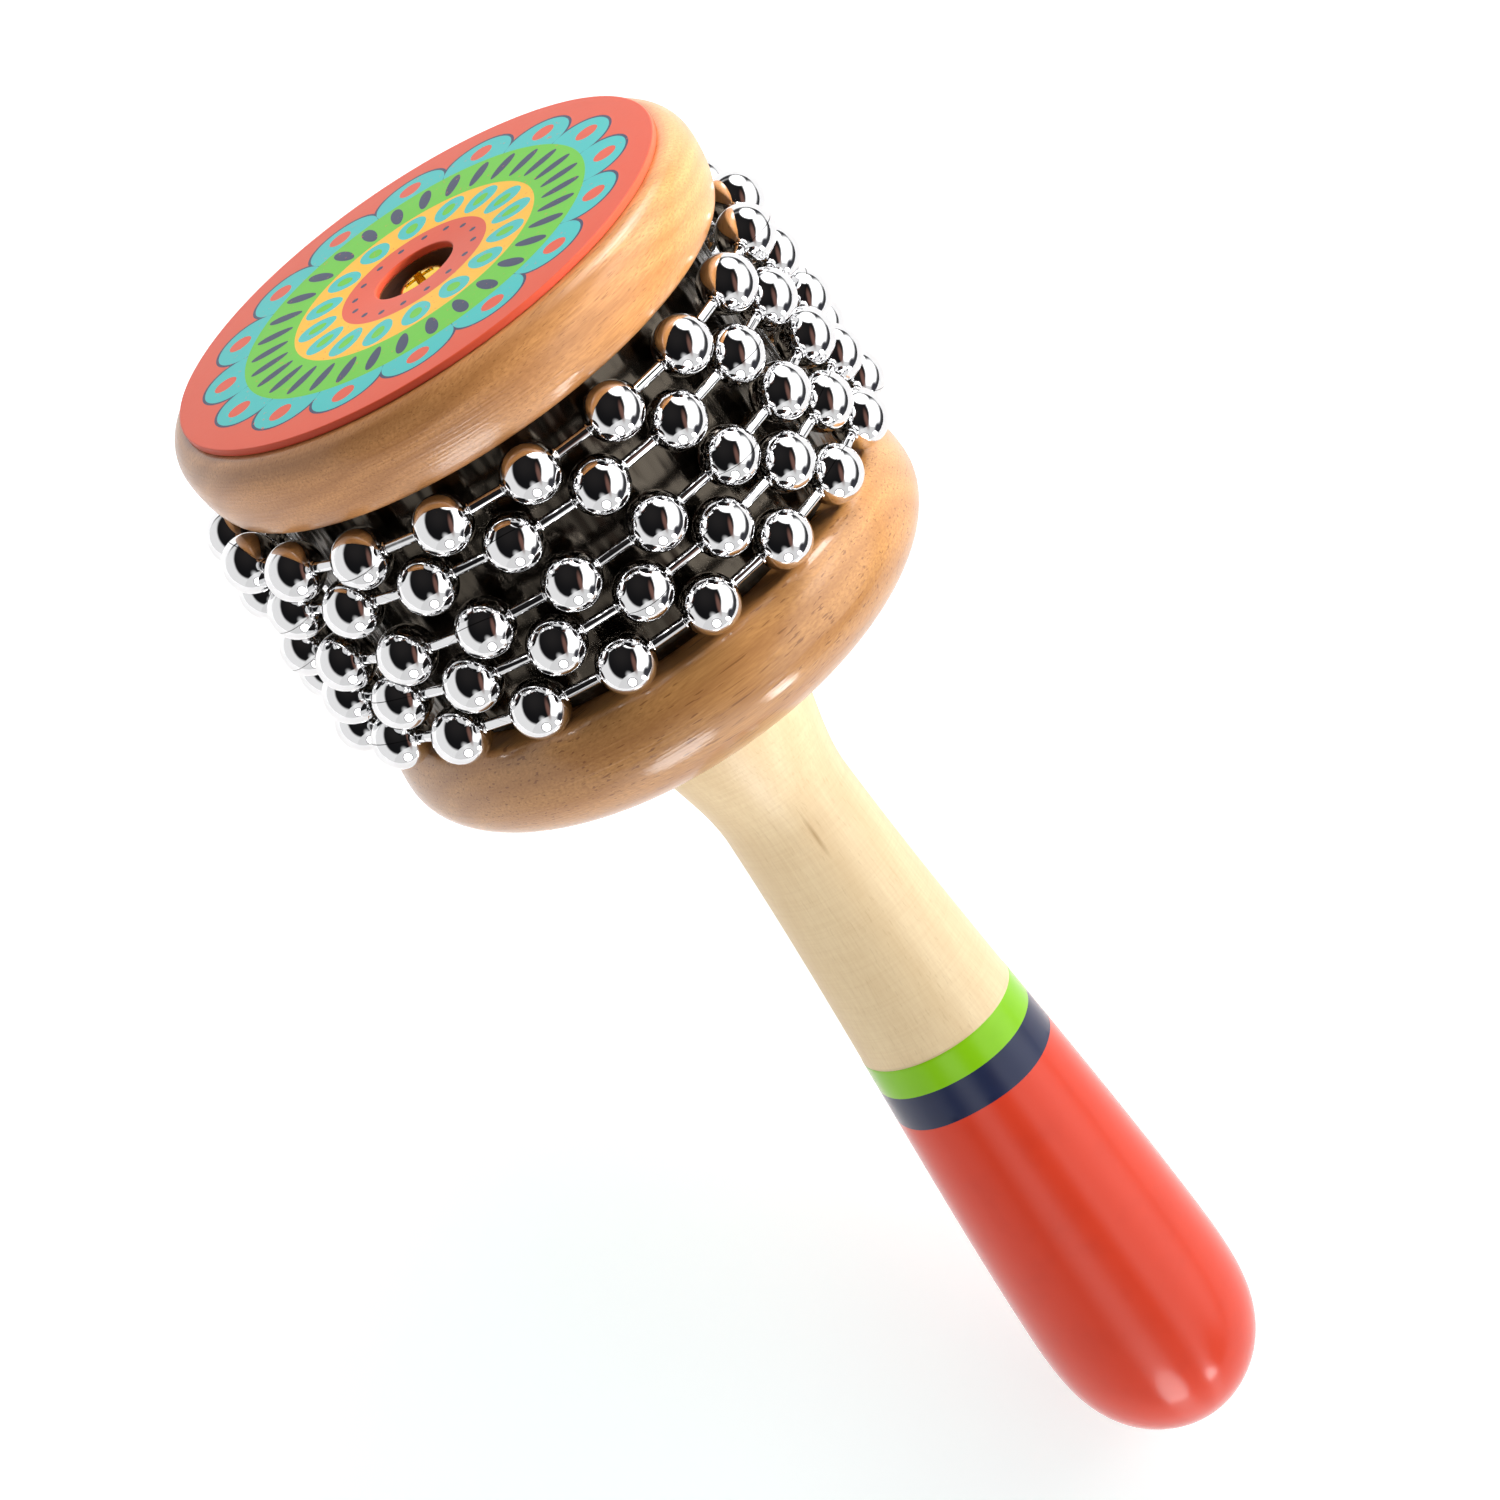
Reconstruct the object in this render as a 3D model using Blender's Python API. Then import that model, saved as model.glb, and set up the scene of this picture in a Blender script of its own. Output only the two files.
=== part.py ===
"""Cabasa: a hand percussion instrument with loops of ball chain round a steel-clad drum.

A turned maple handle carries the head on its axis: lower disc, core drum in a rolled steel sleeve, upper
disc and thin printed facing. One long screw goes down through the head into the handle's tenon and clamps
it all. Five closed loops of ball chain lie slack round the sleeve between the discs. The two upper loops
and the three lower ones lie in each other's gaps, bead between beads, and turn round the sleeve together.

Lengths are in metres. +Z runs up the axis from the handle to the head, and the origin is the middle of
the grip.
"""

import math

import bmesh
import bpy
from mathutils import Vector

# Fits
SEAT_GAP = 0.0003
TENON_CLEARANCE = 0.0003
SHANK_CLEARANCE = 0.0004

# Handle, from the shoulder under the lower disc to its round end
HANDLE_LENGTH = 0.135
SHOULDER_DIAMETER = 0.0252
WAIST_DIAMETER = 0.0193
WAIST_DROP = 0.0200
BELLY_DIAMETER = 0.0303
CAP_LENGTH = 0.0235
CAP_FULLNESS = 3.0
CAP_ROUNDNESS = 1.7
TENON_DIAMETER = 0.016
TENON_LENGTH = 0.030
RED_DIP_LENGTH = 0.0657
NAVY_BAND_WIDTH = 0.0054
GREEN_BAND_WIDTH = 0.0047

# Discs of the head
DISC_DIAMETER = 0.080
UPPER_DISC_HEIGHT = 0.0119
UPPER_CROWN_DROP = 0.0044
UPPER_TOP_INSET = 0.0024
UPPER_FOOT_INSET = 0.0018
LOWER_DISC_HEIGHT = 0.0203
LOWER_CROWN_DROP = 0.0076
LOWER_TOP_INSET = 0.0034
LOWER_FLAT_DIAMETER = 0.029

# Facing on the upper disc
FACING_DIAMETER = 0.0735
FACING_THICKNESS = 0.0008

# Assembly screw and its recess
RECESS_DIAMETER = 0.0120
RECESS_DEPTH = 0.0030
SCREW_HEAD_DIAMETER = 0.0072
SCREW_HEAD_HEIGHT = 0.0026
SCREW_CROWN_DIAMETER = 0.0026
SCREW_RIM_HEIGHT = 0.0014
SCREW_SHANK_DIAMETER = 0.0040
SCREW_TIP_LENGTH = 0.0030
SCREW_GRIP = 0.020
PILOT_SPARE_DEPTH = 0.0015
DRIVE_WIDTH = 0.0042
DRIVE_SLOT = 0.0010
DRIVE_DEPTH = 0.0016

# Steel sleeve round the core drum
SLEEVE_DIAMETER = 0.0666
SLEEVE_WALL = 0.0006

# Ball chain
BEAD_DIAMETER = 0.0082
BEAD_SPACING = 0.0132
ROD_DIAMETER = 0.0015
LOOP_SLACK = 0.0025
LOOP_HEADROOM = 0.0014
NEST_PLAY = 0.0010
# How far each loop is turned from the front, in bead spacings, from the top loop down
LOOP_TURNS = (0.80, 0.28, 0.53, 0.04, 0.50)
FRONT_ANGLE = -math.pi / 2

# Facets
DISC_SEGMENTS = 36
HANDLE_SEGMENTS = 24
SCREW_SEGMENTS = 16
ARC_STEPS = 4
GRIP_STEPS = 6
CAP_STEPS = 6
CHAIN_SIDES = 8
BEAD_LATITUDES = (-62.0, -31.0, 0.0, 31.0, 62.0)
SMOOTH_ANGLE = math.radians(40)

# Colours, as linear RGB
MAPLE = (0.82, 0.66, 0.42)
BEECH = (0.60, 0.36, 0.17)
DRUM_WOOD = (0.50, 0.33, 0.18)
LIME_GREEN = (0.25, 0.58, 0.0)
NAVY = (0.026, 0.032, 0.09)
RED = (0.65, 0.07, 0.04)
STEEL = (0.55, 0.56, 0.57)
NICKEL = (0.75, 0.75, 0.76)
BRASS = (0.62, 0.47, 0.13)

# Loops of chain, worked out from the sizes above. Each hangs back until it lies on the front of the sleeve
LOOP_RADIUS = SLEEVE_DIAMETER / 2 + LOOP_SLACK + BEAD_DIAMETER / 2
LOOP_SETBACK = LOOP_SLACK - SEAT_GAP
BEAD_COUNT = round(2 * math.pi * LOOP_RADIUS / BEAD_SPACING)
BEAD_STEP = 2 * math.pi / BEAD_COUNT


def nest_pitch(turn, next_turn):
    """Distance along the axis between two neighbouring loops, with the beads of each in the other's gaps.

    It leaves the play between the nearest beads, and at least that between one loop's beads and the other's rods.
    """
    share = abs(turn - next_turn) % 1.0
    beside = min(share, 1.0 - share) * BEAD_STEP * LOOP_RADIUS
    apart = BEAD_DIAMETER + NEST_PLAY
    over_rods = (BEAD_DIAMETER + ROD_DIAMETER) / 2 + NEST_PLAY
    return max(math.sqrt(max(apart**2 - beside**2, 0.0)), over_rods)


NEST_PITCHES = [nest_pitch(*pair) for pair in zip(LOOP_TURNS, LOOP_TURNS[1:])]

# Levels up the axis, worked out from the sizes above
HANDLE_END = -HANDLE_LENGTH / 2
SHOULDER = HANDLE_LENGTH / 2
TENON_TOP = SHOULDER + TENON_LENGTH
LOWER_DISC_FOOT = SHOULDER + SEAT_GAP
LOWER_DISC_TOP = LOWER_DISC_FOOT + LOWER_DISC_HEIGHT
TOP_LOOP = LOWER_DISC_TOP + SEAT_GAP + BEAD_DIAMETER / 2 + sum(NEST_PITCHES)
UPPER_DISC_FOOT = TOP_LOOP + BEAD_DIAMETER / 2 + LOOP_HEADROOM
UPPER_DISC_TOP = UPPER_DISC_FOOT + UPPER_DISC_HEIGHT
FACING_FOOT = UPPER_DISC_TOP + SEAT_GAP
FACING_TOP = FACING_FOOT + FACING_THICKNESS
RECESS_FLOOR = UPPER_DISC_TOP - RECESS_DEPTH
SCREW_SEAT = RECESS_FLOOR + SEAT_GAP
SCREW_TIP = TENON_TOP - SCREW_GRIP


def clear_scene():
    """Removes what the file opened with."""
    for obj in list(bpy.data.objects):
        bpy.data.objects.remove(obj, do_unlink=True)


def finish(name, colour, roughness, metallic=0.0):
    """A Principled material."""
    material = bpy.data.materials.new(name)
    material.use_nodes = True
    shader = material.node_tree.nodes["Principled BSDF"]
    shader.inputs["Base Color"].default_value = (*colour, 1.0)
    shader.inputs["Roughness"].default_value = roughness
    shader.inputs["Metallic"].default_value = metallic
    material.diffuse_color = (*colour, 1.0)
    return material


def place(name, mesh, materials, parent):
    """A named object in the scene, shaded smooth up to its sharp edges."""
    for material in materials:
        mesh.materials.append(material)
    obj = bpy.data.objects.new(name, mesh)
    bpy.context.collection.objects.link(obj)
    obj.parent = parent
    mesh.shade_smooth()
    mesh.set_sharp_from_angle(angle=SMOOTH_ANGLE)
    return obj


def turned(name, outline, segments, materials, parent, band_of=None):
    """Spins an outline of (radius, height) points about the axis.

    A bored piece has a closed outline, and a solid one runs from the axis to the axis. band_of gives a
    face's material from the height of its centre.
    """
    solid = outline[0][0] == 0.0 and outline[-1][0] == 0.0
    work = bmesh.new()
    points = [work.verts.new((radius, 0.0, height)) for radius, height in outline]
    edges = [work.edges.new(pair) for pair in zip(points, points[1:])]
    if not solid:
        edges.append(work.edges.new((points[-1], points[0])))
    bmesh.ops.spin(
        work,
        geom=points + edges,
        axis=(0.0, 0.0, 1.0),
        cent=(0.0, 0.0, 0.0),
        angle=2 * math.pi,
        steps=segments,
        use_merge=True,
    )
    bmesh.ops.remove_doubles(work, verts=work.verts, dist=1e-6)
    bmesh.ops.recalc_face_normals(work, faces=work.faces)
    if band_of:
        for face in work.faces:
            face.material_index = band_of(face.calc_center_median())
    mesh = bpy.data.meshes.new(name)
    work.to_mesh(mesh)
    work.free()
    return place(name, mesh, materials, parent)


def arc(start, end, bulge_first, steps=ARC_STEPS):
    """Points of a quarter ellipse from start to end, both included.

    With bulge_first the curve leaves start across the axis and reaches end along it, otherwise the reverse.
    """
    points = []
    for step in range(steps + 1):
        angle = math.pi / 2 * step / steps
        across, along = math.sin(angle), 1 - math.cos(angle)
        if not bulge_first:
            across, along = along, across
        points.append((start[0] + (end[0] - start[0]) * across, start[1] + (end[1] - start[1]) * along))
    return points


def flare_radius(share):
    """Handle radius from the shoulder (0) to the waist (1): half a cosine wave."""
    swing = (1 + math.cos(math.pi * share)) / 2
    return (WAIST_DIAMETER + (SHOULDER_DIAMETER - WAIST_DIAMETER) * swing) / 2


def grip_radius(share):
    """Handle radius from the waist (0) to the belly (1): midway between a straight and a smoothed taper."""
    smooth = share * share * (3 - 2 * share)
    return (WAIST_DIAMETER + (BELLY_DIAMETER - WAIST_DIAMETER) * (share + smooth) / 2) / 2


def cap_radius(share):
    """Handle radius from the belly (0) to the round end (1): a superellipse, fuller than a plain one."""
    return BELLY_DIAMETER / 2 * max(1 - share**CAP_FULLNESS, 0.0) ** (1 / CAP_ROUNDNESS)


def handle_radius(height):
    """Radius of the handle at a height between its end and its shoulder."""
    waist, belly = SHOULDER - WAIST_DROP, HANDLE_END + CAP_LENGTH
    if height >= waist:
        return flare_radius((SHOULDER - height) / WAIST_DROP)
    if height >= belly:
        return grip_radius((waist - height) / (waist - belly))
    return cap_radius((belly - height) / CAP_LENGTH)


def handle_heights():
    """Heights of the handle's outline from the shoulder down, with one at each edge of the painted bands."""
    waist, belly = SHOULDER - WAIST_DROP, HANDLE_END + CAP_LENGTH
    heights = [SHOULDER - WAIST_DROP * step / ARC_STEPS for step in range(ARC_STEPS + 1)]
    heights += [waist + (belly - waist) * step / GRIP_STEPS for step in range(1, GRIP_STEPS + 1)]
    quarter = math.pi / 2 / CAP_STEPS
    heights += [belly - CAP_LENGTH * math.sin(quarter * step) for step in range(1, CAP_STEPS)]
    return sorted(set(heights) | set(band_edges()), reverse=True)


def band_edges():
    """Heights of the three paint lines, from the red dip upwards."""
    red = HANDLE_END + RED_DIP_LENGTH
    return red, red + NAVY_BAND_WIDTH, red + NAVY_BAND_WIDTH + GREEN_BAND_WIDTH


def paint_band(centre):
    """Material number at a point of the handle: bare maple, green, navy or red."""
    return sum(centre.z < edge for edge in band_edges())


def make_handle(parent):
    """Turned maple handle with a tenon on top, bored for the screw, and a dipped, banded end."""
    pilot = SCREW_SHANK_DIAMETER / 2 + SHANK_CLEARANCE
    pilot_floor = SCREW_TIP - PILOT_SPARE_DEPTH
    outline = [
        (0.0, pilot_floor),
        (pilot, pilot_floor),
        (pilot, TENON_TOP),
        (TENON_DIAMETER / 2, TENON_TOP),
        (TENON_DIAMETER / 2, SHOULDER),
    ]
    outline += [(handle_radius(height), height) for height in handle_heights()]
    outline.append((0.0, HANDLE_END))
    paints = [
        finish("maple", MAPLE, 0.35),
        finish("lime_green_paint", LIME_GREEN, 0.3),
        finish("navy_paint", NAVY, 0.3),
        finish("red_dip_paint", RED, 0.2),
    ]
    turned("handle", outline, HANDLE_SEGMENTS, paints, parent, paint_band)


def make_lower_disc(wood, parent):
    """Beech disc with a domed underside, bored for the handle's tenon."""
    bore = TENON_DIAMETER / 2 + TENON_CLEARANCE
    rim = DISC_DIAMETER / 2
    crown = LOWER_DISC_TOP - LOWER_CROWN_DROP
    outline = [(bore, LOWER_DISC_TOP)]
    outline += arc((rim - LOWER_TOP_INSET, LOWER_DISC_TOP), (rim, crown), True)
    outline += arc((rim, crown), (LOWER_FLAT_DIAMETER / 2, LOWER_DISC_FOOT), False, ARC_STEPS + 2)[1:]
    outline.append((bore, LOWER_DISC_FOOT))
    turned("lower_disc", outline, DISC_SEGMENTS, [wood], parent)


def make_upper_disc(wood, parent):
    """Beech disc with a rounded edge, bored for the screw and recessed for its head."""
    rim = DISC_DIAMETER / 2
    bore = SCREW_SHANK_DIAMETER / 2 + SHANK_CLEARANCE
    crown = UPPER_DISC_TOP - UPPER_CROWN_DROP
    outline = [
        (bore, RECESS_FLOOR),
        (RECESS_DIAMETER / 2, RECESS_FLOOR),
        (RECESS_DIAMETER / 2, UPPER_DISC_TOP),
    ]
    outline += arc((rim - UPPER_TOP_INSET, UPPER_DISC_TOP), (rim, crown), True)
    outline += arc((rim, crown), (rim - UPPER_FOOT_INSET, UPPER_DISC_FOOT), False, ARC_STEPS - 1)[1:]
    outline.append((bore, UPPER_DISC_FOOT))
    turned("upper_disc", outline, DISC_SEGMENTS, [wood], parent)


def make_facing(parent):
    """Thin red facing glued on the upper disc, with the screw's hole through it."""
    hole, rim = RECESS_DIAMETER / 2, FACING_DIAMETER / 2
    outline = [(hole, FACING_TOP), (rim, FACING_TOP), (rim, FACING_FOOT), (hole, FACING_FOOT)]
    turned("top_facing", outline, DISC_SEGMENTS, [finish("red_facing", RED, 0.4)], parent)


def make_core_drum(parent):
    """Wooden drum clamped between the discs, with the tenon's socket below and the screw's bore above."""
    foot, top = LOWER_DISC_TOP + SEAT_GAP, UPPER_DISC_FOOT - SEAT_GAP
    socket_roof = TENON_TOP + SEAT_GAP
    socket = TENON_DIAMETER / 2 + TENON_CLEARANCE
    bore = SCREW_SHANK_DIAMETER / 2 + SHANK_CLEARANCE
    rim = SLEEVE_DIAMETER / 2 - SLEEVE_WALL - SEAT_GAP
    outline = [
        (bore, top),
        (rim, top),
        (rim, foot),
        (socket, foot),
        (socket, socket_roof),
        (bore, socket_roof),
    ]
    turned("core_drum", outline, DISC_SEGMENTS, [finish("drum_wood", DRUM_WOOD, 0.6)], parent)


def make_sleeve(parent):
    """Rolled sheet steel round the drum, the rasp that the beads run on."""
    foot, top = LOWER_DISC_TOP + SEAT_GAP, UPPER_DISC_FOOT - SEAT_GAP
    outer = SLEEVE_DIAMETER / 2
    inner = outer - SLEEVE_WALL
    outline = [(inner, top), (outer, top), (outer, foot), (inner, foot)]
    turned("steel_sleeve", outline, DISC_SEGMENTS, [finish("polished_steel", STEEL, 0.12, 1.0)], parent)


def drive_cutter(parent):
    """Cross of two bars that cuts the drive recess into the screw's head."""
    top = SCREW_SEAT + SCREW_HEAD_HEIGHT
    work = bmesh.new()
    half, slot = DRIVE_WIDTH / 2, DRIVE_SLOT / 2
    corners = [(half, slot), (slot, slot), (slot, half)]
    corners += [(-y, x) for x, y in corners] + [(-x, -y) for x, y in corners] + [(y, -x) for x, y in corners]
    base = work.faces.new([work.verts.new((x, y, top - DRIVE_DEPTH)) for x, y in corners])
    raised = bmesh.ops.extrude_face_region(work, geom=[base])["geom"]
    lift = [item for item in raised if isinstance(item, bmesh.types.BMVert)]
    bmesh.ops.translate(work, verts=lift, vec=(0.0, 0.0, 2 * DRIVE_DEPTH))
    bmesh.ops.recalc_face_normals(work, faces=work.faces)
    mesh = bpy.data.meshes.new("drive_cutter")
    work.to_mesh(mesh)
    work.free()
    cutter = place("drive_cutter", mesh, [], parent)
    cutter.hide_render = True
    cutter.display_type = "WIRE"
    return cutter


def make_screw(parent):
    """Brass screw: domed head with a cross recess, plain shank and pointed tip."""
    head, shank = SCREW_HEAD_DIAMETER / 2, SCREW_SHANK_DIAMETER / 2
    rim = SCREW_SEAT + SCREW_RIM_HEIGHT
    outline = [(0.0, SCREW_SEAT + SCREW_HEAD_HEIGHT)]
    outline += arc((SCREW_CROWN_DIAMETER / 2, SCREW_SEAT + SCREW_HEAD_HEIGHT), (head, rim), True)
    outline += [
        (head, SCREW_SEAT),
        (shank, SCREW_SEAT),
        (shank, SCREW_TIP + SCREW_TIP_LENGTH),
        (0.0, SCREW_TIP),
    ]
    screw = turned("assembly_screw", outline, SCREW_SEGMENTS, [finish("brass", BRASS, 0.25, 1.0)], parent)
    cut = screw.modifiers.new("Drive", "BOOLEAN")
    cut.operation = "DIFFERENCE"
    cut.solver = "EXACT"
    cut.object = drive_cutter(parent)


def ring(centre, along, radius):
    """Corners of one cross-section of the chain, square to its direction."""
    up = Vector((0.0, 0.0, 1.0))
    across = along.cross(up)
    turns = [2 * math.pi * side / CHAIN_SIDES for side in range(CHAIN_SIDES)]
    return [centre + radius * (math.cos(turn) * across + math.sin(turn) * up) for turn in turns]


def chain_rings(turn):
    """Cross-sections round one closed loop: each bead's latitudes, then both ends of the rod after it."""
    bead, rod = BEAD_DIAMETER / 2, ROD_DIAMETER / 2
    exit_reach = math.sqrt(bead * bead - rod * rod)
    rings = []
    for number in range(BEAD_COUNT):
        angle = FRONT_ANGLE + (number + turn) * BEAD_STEP
        centre = LOOP_RADIUS * Vector((math.cos(angle), math.sin(angle), 0.0))
        along = Vector((-math.sin(angle), math.cos(angle), 0.0))
        for latitude in map(math.radians, BEAD_LATITUDES):
            rings.append(ring(centre + bead * math.sin(latitude) * along, along, bead * math.cos(latitude)))
        after = LOOP_RADIUS * Vector((math.cos(angle + BEAD_STEP), math.sin(angle + BEAD_STEP), 0.0))
        rod_way = (after - centre).normalized()
        rings.append(ring(centre + exit_reach * rod_way, rod_way, rod))
        rings.append(ring(after - exit_reach * rod_way, rod_way, rod))
    return rings


def make_chain(number, turn, metal, parent):
    """One closed loop of ball chain, hung on an empty on its axis at its own level."""
    height = TOP_LOOP - sum(NEST_PITCHES[:number])
    pivot = bpy.data.objects.new(f"chain_{number + 1}_pivot", None)
    bpy.context.collection.objects.link(pivot)
    pivot.location = (0.0, LOOP_SETBACK, height)
    pivot.parent = parent
    work = bmesh.new()
    loops = [[work.verts.new(corner) for corner in section] for section in chain_rings(turn)]
    for this, following in zip(loops, loops[1:] + loops[:1]):
        for side in range(CHAIN_SIDES):
            beside = (side + 1) % CHAIN_SIDES
            work.faces.new((this[side], this[beside], following[beside], following[side]))
    bmesh.ops.recalc_face_normals(work, faces=work.faces)
    mesh = bpy.data.meshes.new(f"chain_{number + 1}")
    work.to_mesh(mesh)
    work.free()
    place(f"chain_{number + 1}", mesh, [metal], pivot)


def main():
    """Builds the handle, the head and the five chain loops round it."""
    clear_scene()
    root = bpy.data.objects.new("cabasa", None)
    bpy.context.collection.objects.link(root)
    beech = finish("beech", BEECH, 0.3)
    make_handle(root)
    make_lower_disc(beech, root)
    make_core_drum(root)
    make_sleeve(root)
    make_upper_disc(beech, root)
    make_facing(root)
    make_screw(root)
    nickel = finish("nickel_plate", NICKEL, 0.08, 1.0)
    for number, turn in enumerate(LOOP_TURNS):
        make_chain(number, turn, nickel, root)


main()
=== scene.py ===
"""Looks of a small hand cabasa: turned wood, dipped paint, a printed facing and loops of plated ball chain.

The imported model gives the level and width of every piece. Each piece is worked out again here as a fine
surface on a grid, gets the finish of its real material, and stands for the plain solid of the same name.
Lengths are metres.
"""

import logging
import math
from abc import ABC, abstractmethod
from collections.abc import Sequence
from dataclasses import dataclass
from enum import Enum
from typing import Any

import bmesh
import bpy
import numpy as np
from mathutils import Matrix, Vector


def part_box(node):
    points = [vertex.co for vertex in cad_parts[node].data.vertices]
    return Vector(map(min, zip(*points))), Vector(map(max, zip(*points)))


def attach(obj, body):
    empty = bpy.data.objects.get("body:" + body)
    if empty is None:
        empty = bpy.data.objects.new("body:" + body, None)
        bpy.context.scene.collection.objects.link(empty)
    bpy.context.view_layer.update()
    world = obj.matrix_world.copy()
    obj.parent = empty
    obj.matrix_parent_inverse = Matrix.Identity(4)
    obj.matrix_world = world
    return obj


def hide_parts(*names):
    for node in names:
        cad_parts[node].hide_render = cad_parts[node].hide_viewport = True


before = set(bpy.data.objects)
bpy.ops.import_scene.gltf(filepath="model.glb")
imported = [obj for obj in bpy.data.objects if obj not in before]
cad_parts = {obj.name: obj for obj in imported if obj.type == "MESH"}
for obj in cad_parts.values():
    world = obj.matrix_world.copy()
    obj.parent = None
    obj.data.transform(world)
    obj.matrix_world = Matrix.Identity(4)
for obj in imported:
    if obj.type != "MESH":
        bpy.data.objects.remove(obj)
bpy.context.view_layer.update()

LOG = logging.getLogger("cabasa")
MM = 0.001
HEAD_BODY = "handle_and_head"
SHARP_ANGLE = math.radians(38)
WELD_DISTANCE = 1e-7
# Sockets of a Mix node that is set to colours
MIX_A, MIX_B, MIX_RESULT = 6, 7, 2
WHITE = (1.0, 1.0, 1.0, 1.0)
# How far each loop is turned from the front, in bead spacings, from the top down
LOOP_TURNS = (0.80, 0.28, 0.53, 0.04, 0.50)
# Short names for Blender's types and for what goes into a node
Tree = bpy.types.NodeTree
Socket = bpy.types.NodeSocket
Inputs = dict[str | int, Any]


# Shapes


def quarter_arc(
    start: Sequence[float], end: Sequence[float], across_first: bool, steps: int = 14
) -> np.ndarray:
    """A quarter ellipse: the start plus the way to the end times (sin t, 1 - cos t), t from 0 to 90 degrees.

    Args:
        start: First point, as (radius, height).
        end: Last point, as (radius, height).
        across_first: Whether the curve leaves the start across the axis; otherwise it leaves along the axis.
        steps: Number of stretches.

    Returns:
        The points, both ends included, as (steps + 1) by 2.
    """
    turn = np.linspace(0.0, np.pi / 2, steps + 1)
    shares = np.stack([np.sin(turn), 1.0 - np.cos(turn)], axis=1)
    if not across_first:
        shares = shares[:, ::-1]
    return np.asarray(start) + (np.asarray(end) - np.asarray(start)) * shares


def eased(corners: Sequence[tuple[float, float, float]], steps: int = 5) -> np.ndarray:
    """A closed outline with eased corners: each is a parabola between two points at its easing's distance.

    Args:
        corners: Corners in order, as (radius, height, easing).
        steps: Number of stretches round each corner.

    Returns:
        The points of the outline, as corners * (steps + 1) by 2.
    """
    table = np.asarray(corners, dtype=float)
    corner, easing = table[:, :2], table[:, 2:]
    ends = []
    for neighbour in (np.roll(corner, 1, axis=0), np.roll(corner, -1, axis=0)):
        way = neighbour - corner
        ends.append(corner + way / np.linalg.norm(way, axis=1, keepdims=True) * easing)
    share = np.linspace(0.0, 1.0, steps + 1)[None, :, None]
    first, middle, last = ends[0][:, None], corner[:, None], ends[1][:, None]
    curve = (1 - share) ** 2 * first + 2 * share * (1 - share) * middle + share**2 * last
    return curve.reshape(-1, 2)


def turned(outline: np.ndarray, segments: int) -> np.ndarray:
    """A surface of revolution: (r cos t, r sin t, z) for each outline point (r, z) and each turn t.

    Args:
        outline: Points as (radius, height), n by 2.
        segments: Number of turns in the full circle.

    Returns:
        Grid of positions, segments by n by 3.
    """
    turn = 2 * np.pi * np.arange(segments)[:, None] / segments
    radius, height = outline[:, 0], np.broadcast_to(outline[:, 1], (segments, len(outline)))
    return np.stack([radius * np.cos(turn), radius * np.sin(turn), height], axis=-1)


def grid_piece(
    name: str,
    points: np.ndarray,
    columns_join: bool,
    finishes: Sequence["Finish"],
    column_finish: np.ndarray | None = None,
    unrolled: np.ndarray | None = None,
) -> bpy.types.Object:
    """Makes a closed mesh object from a grid whose last row joins its first.

    Args:
        name: Name of the piece.
        points: Positions, rows by columns by 3.
        columns_join: Whether the last column joins the first; otherwise both end columns shrink to a pole.
        finishes: Finishes that the piece has, in the order of their numbers.
        column_finish: Number of the finish of each column's faces, or None where there is only one.
        unrolled: Surface map at the grid's corners, (rows + 1) by (columns + 1) by 2, or None.

    Returns:
        The object, at the origin.
    """
    rows, columns = points.shape[:2]
    row, column = np.meshgrid(np.arange(rows), np.arange(columns - (not columns_join)), indexing="ij")
    row, column = row.ravel(), column.ravel()
    corner_rows = np.stack([row, row + 1, row + 1, row], axis=1)
    corner_columns = np.stack([column, column, column + 1, column + 1], axis=1)
    faces = corner_rows % rows * columns + corner_columns % columns
    mesh = bpy.data.meshes.new(name)
    mesh.from_pydata(points.reshape(-1, 3), [], faces.tolist())
    if column_finish is not None:
        mesh.polygons.foreach_set("material_index", column_finish[column].astype(np.int32))
    if unrolled is not None:
        corners = unrolled[corner_rows, corner_columns]
        mesh.uv_layers.new(name="unrolled").data.foreach_set("uv", corners.astype(np.float32).ravel())
    work = bmesh.new()
    work.from_mesh(mesh)
    bmesh.ops.remove_doubles(work, verts=work.verts, dist=WELD_DISTANCE)
    bmesh.ops.recalc_face_normals(work, faces=work.faces)
    work.to_mesh(mesh)
    work.free()
    for finish in finishes:
        mesh.materials.append(finish.material())
    mesh.shade_smooth()
    mesh.set_sharp_from_angle(angle=SHARP_ANGLE)
    piece = bpy.data.objects.new(name, mesh)
    bpy.context.scene.collection.objects.link(piece)
    return piece


def settle(piece: bpy.types.Object, body: str, node: str) -> None:
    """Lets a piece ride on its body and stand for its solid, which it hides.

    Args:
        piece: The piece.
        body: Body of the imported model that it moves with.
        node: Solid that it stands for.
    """
    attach(piece, body)
    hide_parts(node)
    LOG.info("%s: %d faces on %s", piece.name, len(piece.data.polygons), body)


# Finishes


def linear(code: str) -> tuple[float, ...]:
    """Turns an sRGB hex code into a linear colour with full alpha.

    Args:
        code: Colour such as "#c08040".

    Returns:
        Red, green, blue and alpha.
    """
    srgb = np.array([int(code[place : place + 2], 16) for place in (1, 3, 5)]) / 255
    value = np.where(srgb <= 0.04045, srgb / 12.92, ((srgb + 0.055) / 1.055) ** 2.4)
    return (*value.tolist(), 1.0)


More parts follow.
